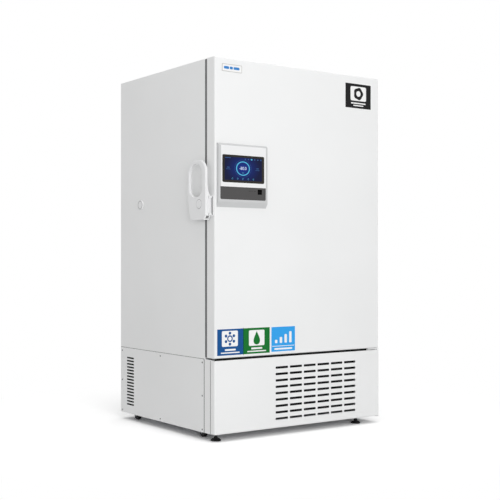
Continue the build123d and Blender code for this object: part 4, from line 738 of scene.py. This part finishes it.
class FREEZER_OT_finishes(bpy.types.Operator):
    """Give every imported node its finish"""

    bl_idname = "freezer.finishes"
    bl_label = "Finishes"

    def execute(self, context):
        look = context.scene.freezer_finish
        low, high = (on_door(*corner) for corner in WHITE_FACE)
        low, high = (low[0], HOUSING_FACE - 0.001, low[1]), (high[0], HOUSING_FACE + FILM, high[1])
        by_finish = {
            sprayed_paint("case_paint", look.paint): (
                "left_side_panel", "right_side_panel", "top_panel", "rear_panel", "door_skin",
                "service_panel", "front_frame", "lower_side_panels", "lower_rear_panel",
                "hinge_brackets", "door_hinge_leaves"),
            moulded_plastic("white_moulding", look.moulding): (
                "handle_lever", "handle_base", "lock_cylinder", "port_cap", "port_sleeve"),
            two_tone_moulding("display_moulding", look.housing, look.moulding, low, high): (
                "display_housing",),
            soft_rubber("gasket_rubber", look.gasket): ("door_gasket",),
            moulded_plastic("breaker_moulding", (0.72, 0.73, 0.74), roughness=0.45): (
                "breaker_frame", "inner_divider", "door_liner"),
            moulded_plastic("inner_door_skin", (0.74, 0.75, 0.76), roughness=0.4): (
                "inner_door_upper", "inner_door_lower"),
            brushed_metal("brushed_liner", (0.58, 0.59, 0.60), lines=(900, 900, 10)): (
                "inner_liner", "shelf_rails"),
            brushed_metal("shelf_steel", (0.60, 0.61, 0.62), lines=(8, 900, 900)): ("shelves",),
            brushed_metal("bright_pin", (0.50, 0.51, 0.52), roughness=0.25, lines=(700, 700, 40)): (
                "hinge_pins",),
            zinc_plate("zinc_coat", (0.50, 0.51, 0.53)): (
                "bottom_panel", "base_frame", "latch_keeper"),
            zinc_plate("caster_zinc", (0.36, 0.37, 0.39), roughness=0.5): (
                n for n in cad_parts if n.startswith("caster_fork")),
            soft_rubber("tyre_rubber", (0.006, 0.006, 0.007), roughness=0.6, gloss=0.25): (
                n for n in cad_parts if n.startswith(("caster_wheel", "foot_"))),
            blown_foam("wall_foam", (0.80, 0.70, 0.44)): ("cabinet_insulation", "door_insulation"),
            brushed_metal("vacuum_film", (0.62, 0.63, 0.65), roughness=0.3, lines=(30, 30, 30)): (
                "vacuum_panels",),
            bright_copper("copper_tube", (0.78, 0.40, 0.24)): (
                "evaporator_coil", "refrigerant_lines", "filter_drier"),
            finned_metal("condenser_fins", (0.55, 0.56, 0.57)): ("condenser",),
            sprayed_paint("black_paint", look.black, roughness=0.4, peel=0.00004): (
                "fan_shroud", "fan_motor", "compressor_low_stage", "compressor_high_stage",
                "oil_separator"),
            soft_rubber("pipe_wrap", (0.022, 0.022, 0.023), roughness=0.85): (
                "cascade_heat_exchanger",),
            moulded_plastic("inlet_moulding", (0.02, 0.02, 0.021), roughness=0.35): (
                "power_inlet", "switch_rocker", "fan_blades"),
            filter_mesh("filter_mesh", (0.03, 0.03, 0.031)): ("dust_filter",),
            moulded_plastic("control_box_skin", (0.38, 0.39, 0.40), roughness=0.5): (
                "control_box",),
            dark_glass("cover_glass", look.screen_border): ("touch_screen",),
            moulded_plastic("dark_strip", look.strip, roughness=0.3, grain=0.000002): (
                "reader_strip",),
        }
        missing = set(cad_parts)
        for finish, names in by_finish.items():
            for name in names:
                refinish(name, finish)
                missing.remove(name)
        if missing:
            raise RuntimeError(f"no finish for {sorted(missing)}")
        return {"FINISHED"}


# Middles, widths and heights on the door, in millimetres from its left edge and the floor. A badge
# bar has its shift from the badge's middle and its length, and a label bar its share of the
# label's width and its height. A rising bar has its middle and its height.
BADGE_AT, BADGE_SIZE = (107.5, 1933.5), (125, 39)
BADGE_BARS = ((-35, 32), (-5, 20), (28, 38))
BLUE_AT, BLUE_SIZE, BLUE_SQUARE_AT = (96.5, 514), (163, 136), (94, 532)
GREEN_AT, GREEN_SIZE, GREEN_SQUARE_AT = (265.5, 514), (171, 136), (265.5, 529)
LIGHT_AT, LIGHT_SIZE = (442, 515), (160, 132)
LABEL_BARS = ((0.42, 9), (0.72, 6))
FIRST_BAR_UP, BAR_STEP = 28, 15
RISING_BARS, RISING_FROM = ((394, 18), (426, 32), (458, 46), (490, 60)), 494
BLACK_AT, BLACK_SIZE, BLACK_SQUARE_AT = (978.5, 1870), (191, 138), (979.5, 1883.5)


class FREEZER_OT_labels(bpy.types.Operator):
    """Add the bare badge and the unlettered labels on the outer door"""

    bl_idname = "freezer.labels"
    bl_label = "Labels"

    def execute(self, context):
        marks = context.scene.freezer_marks
        self.steps = marks.corner_steps
        white = printed_film("label_white", marks.white)
        self.badge(marks)
        self.label("blue_label", BLUE_AT, BLUE_SIZE, marks.blue, white, bars=True)
        self.label("green_label", GREEN_AT, GREEN_SIZE, marks.green, white, bars=True)
        self.label("light_blue_label", LIGHT_AT, LIGHT_SIZE, marks.sky_blue, white, bars=False)
        self.frosty_motif(white, marks.blue)
        self.drop_motif(white, marks.green)
        self.bar_motif(white)
        self.black_label(white)
        return {"FINISHED"}

    def film(self, name, centre, size, radius, height, finish):
        """A flat film with rounded corners on the door's front."""
        outline = rounded_outline(size[0] / 1000, size[1] / 1000, radius / 1000, self.steps)
        DOOR_FRONT.plate(name, outline, on_door(*centre), height, finish)

    def badge(self, marks):
        """The bare plate at the door's upper left, with a raised rim."""
        silver = brushed_metal("badge_plate", marks.silver, roughness=0.42, lines=(20, 900, 900))
        wide, tall = BADGE_SIZE
        self.film("badge", BADGE_AT, BADGE_SIZE, 3, PLATE, silver)
        pale = printed_film("label_white", marks.white)
        self.film("badge_face", BADGE_AT, (wide - 6, tall - 6), 2, PLATE + FILM / 2, pale)
        blue = printed_film("badge_ink", (0.045, 0.22, 0.55))
        for i, (shift, length) in enumerate(BADGE_BARS):
            self.film(f"badge_bar_{i}", (BADGE_AT[0] + shift, BADGE_AT[1] + 0.5), (length, 14), 5,
                      PLATE + FILM, blue)
        outer = rounded_outline(wide / 1000, tall / 1000, 0.003, self.steps)
        inner = rounded_outline((wide - 5) / 1000, (tall - 5) / 1000, 0.002, self.steps)
        DOOR_FRONT.hoop("badge_rim", outer, inner, on_door(*BADGE_AT), PLATE + FILM,
                        moulded_plastic("badge_edge", (0.55, 0.545, 0.53)))

    def label(self, name, centre, size, colour, white, bars):
        """A coloured label on a slightly larger white film, with bare bars in place of words."""
        self.film(name + "_edge", centre, (size[0] + 6, size[1] + 6), 2, FILM, white)
        self.film(name, centre, size, 1.5, 2 * FILM, printed_film(name + "_ink", colour))
        if bars:
            low = centre[1] - size[1] / 2
            for row, (share, tall) in enumerate(LABEL_BARS):
                self.film(f"{name}_bar_{row}", (centre[0], low + FIRST_BAR_UP - BAR_STEP * row),
                          (size[0] * share, tall), tall * 0.45, 3 * FILM, white)

    def frosty_motif(self, white, blue):
        """A white square with a ring and six dots."""
        self.film("blue_square", BLUE_SQUARE_AT, (100, 81), 7, 3 * FILM, white)
        ink = printed_film("blue_label_ink", blue)
        centre, away = on_door(*BLUE_SQUARE_AT), 0.0285
        on_front = 4 * FILM, facing_front, DOOR_FACE
        dots = [hoop("cold_ring", circle(0.0175), circle(0.0105), centre, *on_front)]
        for angle in np.arange(6) * math.pi / 3 + math.pi / 6:
            spot = (centre[0] + away * math.cos(angle), centre[1] + away * math.sin(angle))
            dots.append(plate("cold_dot", circle(0.0078, 24), spot, *on_front, FILM_BEVEL))
        dress(joined("cold_motif", dots), ink, "door", "display_white")

    def drop_motif(self, white, green):
        """A white square with a drop."""
        self.film("green_square", GREEN_SQUARE_AT, (101, 82), 7, 3 * FILM, white)
        DOOR_FRONT.plate("drop_motif", drop_outline(0.0295), on_door(*GREEN_SQUARE_AT), 4 * FILM,
                         printed_film("green_label_ink", green))

    def bar_motif(self, white):
        """Four rising bars over a thin line and a thick one."""
        for i, (x, tall) in enumerate(RISING_BARS):
            self.film(f"rising_bar_{i}", (x, RISING_FROM + tall / 2), (16, tall), 4, 3 * FILM, white)
        self.film("rising_line", (LIGHT_AT[0], 478), (148, 3), 1, 3 * FILM, white)
        self.film("rising_foot", (LIGHT_AT[0], 463), (120, 9), 4, 3 * FILM, white)

    def black_label(self, white):
        """The black label at the door's upper right, with a white square, a disc and two bars."""
        black = printed_film("black_label_ink", (0.009, 0.009, 0.010))
        edge = (BLACK_SIZE[0] + 10, BLACK_SIZE[1] + 10)
        self.film("black_label_edge", BLACK_AT, edge, 2, FILM, white)
        self.film("black_label", BLACK_AT, BLACK_SIZE, 2, 2 * FILM, black)
        self.film("black_label_square", BLACK_SQUARE_AT, (117, 81), 9, 3 * FILM, white)
        centre = on_door(*BLACK_SQUARE_AT)
        DOOR_FRONT.plate("black_disc", wavy_outline(0.034, 0.06, 5), centre, 4 * FILM, black)
        DOOR_FRONT.plate("black_disc_core", circle(0.016, 48), centre, 5 * FILM, white)
        self.film("black_label_bar_0", (BLACK_SQUARE_AT[0], 1829), (110, 7), 3, 3 * FILM, white)
        self.film("black_label_bar_1", (BLACK_SQUARE_AT[0], 1816), (76, 6), 2.5, 3 * FILM, white)


# Middles on the door, in millimetres from its left edge and the floor
READOUT_AT, PICTURE_AT, SOCKET_AT = (165, 1415), (168.5, 1412), (273.5, 1296)
PICTURE_SIZE = (0.236, 0.119)
RING_STRETCH = 1.18
# Middle and length of the bars on the strip, in millimetres
STRIP_BARS = ((208, 15), (223, 9), (242, 11))


class FREEZER_OT_screen(bpy.types.Operator):
    """Add the picture on the touch screen and the socket in the dark strip"""

    bl_idname = "freezer.screen"
    bl_label = "Screen"

    def execute(self, context):
        marks = context.scene.freezer_marks
        self.cyan = lit_ink("screen_cyan", (0.10, 0.55, 0.85))
        self.faint = lit_ink("screen_faint", (0.05, 0.16, 0.42), strength=0.5)
        self.pale = lit_ink("screen_pale", (0.70, 0.78, 1.0), strength=0.85)
        self.dim = lit_ink("screen_dim", (0.10, 0.45, 0.70), strength=0.55)
        centre = on_door(*READOUT_AT)
        ground = lit_picture("screen_ground", centre, reach=0.13)
        outline = rounded_outline(*PICTURE_SIZE, 0.002)
        GLASS.plate("screen_picture", outline, on_door(*PICTURE_AT), FILM, ground)
        self.ring("readout_ring", centre, 0.0370, 0.0048, self.cyan)
        self.ring("readout_halo", centre, 0.0450, 0.0010, self.faint)
        self.words("readout", marks.readout, 0.0225, centre)
        self.icons()
        self.bars()
        self.socket()
        return {"FINISHED"}

    def ring(self, name, centre, tall, band, finish):
        """A flat ring on the picture, a little wider than it is tall."""
        stretch = np.array([RING_STRETCH, 1.0])
        outer, inner = (circle(r) * stretch for r in (tall, tall - band))
        GLASS.hoop(name, outer, inner, centre, 2 * FILM, finish)

    def words(self, name, text, size, centre):
        """Figures made a mesh and laid on the picture, centred on a place."""
        curve = bpy.data.curves.new(name, "FONT")
        curve.body = text
        curve.size = size
        curve.align_x = curve.align_y = "CENTER"
        curve.extrude = FILM / 2
        curve.offset = size * 0.004
        letters = bpy.data.objects.new(name + "_curve", curve)
        mesh = bpy.data.meshes.new_from_object(letters)
        bpy.data.objects.remove(letters)
        points = np.empty(len(mesh.vertices) * 3)
        mesh.vertices.foreach_get("co", points)
        points = points.reshape(-1, 3)
        laid = np.stack([points[:, 0] + centre[0], GLASS_FACE - 1.5 * FILM - points[:, 2],
                         points[:, 1] + centre[1]], axis=-1)
        mesh.vertices.foreach_set("co", laid.reshape(-1))
        mesh.update()
        piece = bpy.data.objects.new(name, mesh)
        bpy.context.scene.collection.objects.link(piece)
        dress(piece, self.pale, "door", "screen_glass")

    def mark(self, name, centre, size, finish, radius=0.6):
        """A small rounded mark on the picture."""
        outline = rounded_outline(size[0] / 1000, size[1] / 1000, radius / 1000, 4)
        GLASS.plate(name, outline, on_door(*centre), 2 * FILM, finish)

    def icons(self):
        """Six small status marks at the upper right and five menu marks below."""
        for i in range(6):
            finish = self.cyan if i == 2 else self.faint
            wide = 10 if i == 2 else 8
            self.mark(f"status_{i}", (180 + 20 * i, 1464), (wide, 6.5), finish, radius=1.5)
        for i in range(5):
            GLASS.hoop(f"menu_{i}", wavy_outline(0.0042, 0.12, 3 + i, 48), circle(0.0028, 48),
                       on_door(98 + 33.5 * i, 1361), 2 * FILM, self.dim)

    def bars(self):
        """Bare bars where the picture has small words."""
        self.mark("title_bar", (70, 1467), (36, 3), self.faint, radius=1.2)
        for side, x in (("left", 72), ("right", 258)):
            self.mark(f"{side}_value", (x, 1418), (17, 4), self.faint, radius=1.5)
            self.mark(f"{side}_name", (x, 1409), (26, 2.4), self.faint, radius=1)
        self.mark("unit_bar", (READOUT_AT[0], 1392), (13, 3), self.dim, radius=1.2)

    def socket(self):
        """The square data socket in the strip, a black well with a lighter tongue."""
        well = soft_rubber("socket_well", (0.001, 0.001, 0.001), roughness=0.9, gloss=0.05)
        centre = on_door(*SOCKET_AT)
        STRIP.plate("socket_face", rounded_outline(0.027, 0.026, 0.001), centre, FILM, well)
        tongue = soft_rubber("socket_tongue", (0.004, 0.004, 0.004), roughness=0.8, gloss=0.1)
        outline = rounded_outline(0.013, 0.005, 0.0008)
        STRIP.plate("socket_tongue", outline, centre, 2 * FILM, tongue, bevel=PLATE_BEVEL)
        print_grey = moulded_plastic("strip_print", (0.030, 0.029, 0.029), roughness=0.4)
        for i, (x, length) in enumerate(STRIP_BARS):
            outline = rounded_outline(length / 1000, 0.004, 0.001, 4)
            STRIP.plate(f"strip_bar_{i}", outline, on_door(x, 1299), FILM, print_grey)


# The lock's middle, in millimetres behind the door's front and up from the floor
LOCK_AT = (91, 1229)
# Radii of the thin grey lines round the caps of the lock and the port, in metres: painted shadow in
# the groove round the lock's cap and at the foot of the port cap
LOCK_LINE, PORT_LINE = (0.0250, 0.0231), (0.0245, 0.0210)
# The banks of slots: from and to across, then from and to in height, in metres
SIDE_SLOTS = (0.350, 0.446), (0.078, 0.386)
REAR_SLOTS = (-0.460, 0.060), (0.108, 0.300)
# Where the front cover's hinge starts and the gasket's lip from and to in height, in metres
HINGE_START, LIP_SPAN = 0.489, (0.434, 1.983)


class FREEZER_OT_trims(bpy.types.Operator):
    """Add the painted shade in the seams and gaps, the painted shadow lines round the caps, and the
    mesh screens behind the slots
    """

    bl_idname = "freezer.trims"
    bl_label = "Seals and screens"

    def execute(self, context):
        look = context.scene.freezer_finish
        # Near-black rubber-look strips that paint the shade in the seams and gaps
        gap_shade = soft_rubber("seam_seal", look.seam, roughness=0.9, gloss=0.1)
        mesh = filter_mesh("slot_screen", (0.006, 0.006, 0.006))
        upright = (FRAME[1].y,) * 2, (FRAME[0].z, FRAME[1].z)
        level = (FRAME[1].y, CASE_BACK), (FRAME[1].z,) * 2
        for side, looks, base, inner in (
                ("left", facing_left, CASE_LEFT, SIDE_COVER[0].x + SCREEN_IN),
                ("right", facing_right, CASE_RIGHT, SIDE_COVER[1].x - SCREEN_IN)):
            face = Face(looks, base, "cabinet", "gasket_grey")
            # Painted shade in the upright seam behind the front frame and in the level seam above the
            # lower side cover
            self.strip(f"{side}_upright_seam", *upright, face, gap_shade, width=0.0042)
            self.strip(f"{side}_level_seam", *level, face, gap_shade, width=0.0018)
            self.sheet(f"{side}_slot_screen", *SIDE_SLOTS, looks, inner, mesh)
        self.sheet("rear_slot_screen", *REAR_SLOTS, facing_back, CASE_BACK - SCREEN_IN, mesh)
        # Painted shade in the seam at the back edge of the front cover's side return
        face = Face(facing_left, CASE_LEFT - 0.0008, "cabinet", "gasket_grey")
        self.strip("cover_rim_seal", (COVER[1].y + 0.001,) * 2, (COVER[0].z, COVER[1].z), face,
                   gap_shade, width=0.0017)
        # A near-black strip in the gap between the door's bottom and the front cover: painted shade of
        # the deep gap
        face = Face(facing_front, COVER[0].y + 0.008, "front_cover", "gasket_grey")
        self.strip("cover_top_seal", (COVER[0].x + 0.006, HINGE_START), (COVER[1].z + 0.0056,) * 2,
                   face, gap_shade, width=0.0112)
        # A grey ring round the lock's cap: painted shadow in the groove between the cap and the handle
        outer, inner = (circle(radius) for radius in LOCK_LINE)
        Face(facing_left, LEVER_OUT, "handle", "handle_white").hoop(
            "lock_cap_ring", outer, inner, on_side(*LOCK_AT), FILM,
            moulded_plastic("cap_ring", (0.30, 0.30, 0.31)))
        # A grey ring round the port cap's foot: painted shadow where the cap meets the side
        outer, inner = (circle(radius) for radius in PORT_LINE)
        middle = ((PORT[0].y + PORT[1].y) / 2, (PORT[0].z + PORT[1].z) / 2)
        Face(facing_left, PORT[0].x, "port_plug", "gasket_grey").hoop(
            "port_ring", outer, inner, middle, FILM,
            moulded_plastic("port_line", (0.36, 0.36, 0.365)))
        face = Face(facing_left, CASE_LEFT + 0.0009, "door", "gasket_grey")
        grey = soft_rubber("lip_rubber", (0.14, 0.14, 0.143), roughness=0.8)
        self.strip("gasket_lip", (DOOR_BACK - 0.001, FRONT_GAP_END), LIP_SPAN, face, grey)
        # A black strip on the handle's base just in front of the lever: painted shadow of the gap
        # between lever and base
        face = Face(facing_left, CASE_LEFT - 0.003, "door", "gasket_grey")
        self.strip("pivot_seal", (BASE[0].y + 0.0100,) * 2, (BASE[0].z + 0.006, BASE[1].z - 0.006),
                   face, gap_shade, width=0.0040)
        return {"FINISHED"}

    def strip(self, name, u, v, face, finish, width=0):
        """A thin strip between two pairs of edges, of one width where a pair is equal."""
        size = (u[1] - u[0] or width, v[1] - v[0] or width)
        outline = rounded_outline(*size, min(size) * 0.2, 4)
        face.plate(name, outline, (sum(u) / 2, sum(v) / 2), FILM, finish)

    def sheet(self, name, u, v, looks, base, finish):
        """A thin mesh screen just inside a bank of slots."""
        outline = rounded_outline(u[1] - u[0], v[1] - v[0], 0.004, 4)
        face = Face(looks, base, "cabinet", "filter_black")
        face.plate(name, outline, (sum(u) / 2, sum(v) / 2), PLATE, finish, bevel=PLATE_BEVEL)


class FREEZER_OT_screws(bpy.types.Operator):
    """Add the screws of the covers and the plug on the handle"""

    bl_idname = "freezer.screws"
    bl_label = "Screws"

    # Millimetres behind the door's front, or right of the case's left edge, and up from the floor
    SIDE_PLACES = ((988, 404), (988, 231), (988, 53), (548, 405), (548, 55), (117, 405),
                   (117, 231), (117, 55))
    REAR_PLACES = ((30, 60), (30, 400), (1110, 60), (1110, 400), (570, 60), (570, 400))

    def execute(self, context):
        steel = brushed_metal(
            "screw_steel", (0.20, 0.205, 0.21), roughness=0.4, lines=(300, 300, 300))
        sides = (("left", facing_left, CASE_LEFT), ("right", facing_right, CASE_RIGHT))
        heads = [screw_head(f"screw_{side}_{i}", on_side(*place), looks, base)
                 for i, place in enumerate(self.SIDE_PLACES) for side, looks, base in sides]
        dress(joined("side_screws", heads), steel, "cabinet", "pin_steel")
        rear = [screw_head(f"screw_rear_{i}", on_door(*place), facing_back, CASE_BACK)
                for i, place in enumerate(self.REAR_PLACES)]
        dress(joined("rear_screws", rear), steel, "cabinet", "pin_steel")
        web = Face(facing_front, WEB_FACE, "handle", "handle_white")
        white = moulded_plastic("white_moulding", context.scene.freezer_finish.moulding)
        web.plate("handle_plug", circle(0.0042, 32), (CASE_LEFT - 0.024, 1.208), PLATE, white,
                  bevel=PLATE_BEVEL)
        return {"FINISHED"}


class FREEZER_PT_parts(bpy.types.Panel):
    """The freezer's pieces in the sidebar"""

    bl_label = "Freezer"
    bl_idname = "FREEZER_PT_parts"
    bl_space_type = "VIEW_3D"
    bl_region_type = "UI"
    bl_category = "Freezer"

    def draw(self, context):
        for step in STEPS:
            self.layout.operator(step.bl_idname)
        for group in ("freezer_view", "freezer_studio", "freezer_finish", "freezer_marks"):
            settings = getattr(context.scene, group)
            column = self.layout.column()
            for name in settings.__annotations__:
                column.prop(settings, name)


STEPS = (
    FREEZER_OT_camera,
    FREEZER_OT_studio,
    FREEZER_OT_finishes,
    FREEZER_OT_labels,
    FREEZER_OT_screen,
    FREEZER_OT_trims,
    FREEZER_OT_screws,
)
SETTINGS = {
    "freezer_view": FreezerViewSettings,
    "freezer_studio": FreezerStudioSettings,
    "freezer_finish": FreezerFinishSettings,
    "freezer_marks": FreezerMarkSettings,
}


def register():
    for kind in (*SETTINGS.values(), *STEPS, FREEZER_PT_parts):
        bpy.utils.register_class(kind)
    for name, kind in SETTINGS.items():
        setattr(bpy.types.Scene, name, PointerProperty(type=kind))


def unregister():
    for name in SETTINGS:
        delattr(bpy.types.Scene, name)
    for kind in (FREEZER_PT_parts, *reversed(STEPS), *SETTINGS.values()):
        bpy.utils.unregister_class(kind)


def main():
    register()
    bpy.ops.freezer.camera()
    bpy.ops.freezer.studio()
    bpy.ops.freezer.finishes()
    bpy.ops.freezer.labels()
    bpy.ops.freezer.screen()
    bpy.ops.freezer.trims()
    bpy.ops.freezer.screws()


if __name__ == "__main__":
    main()
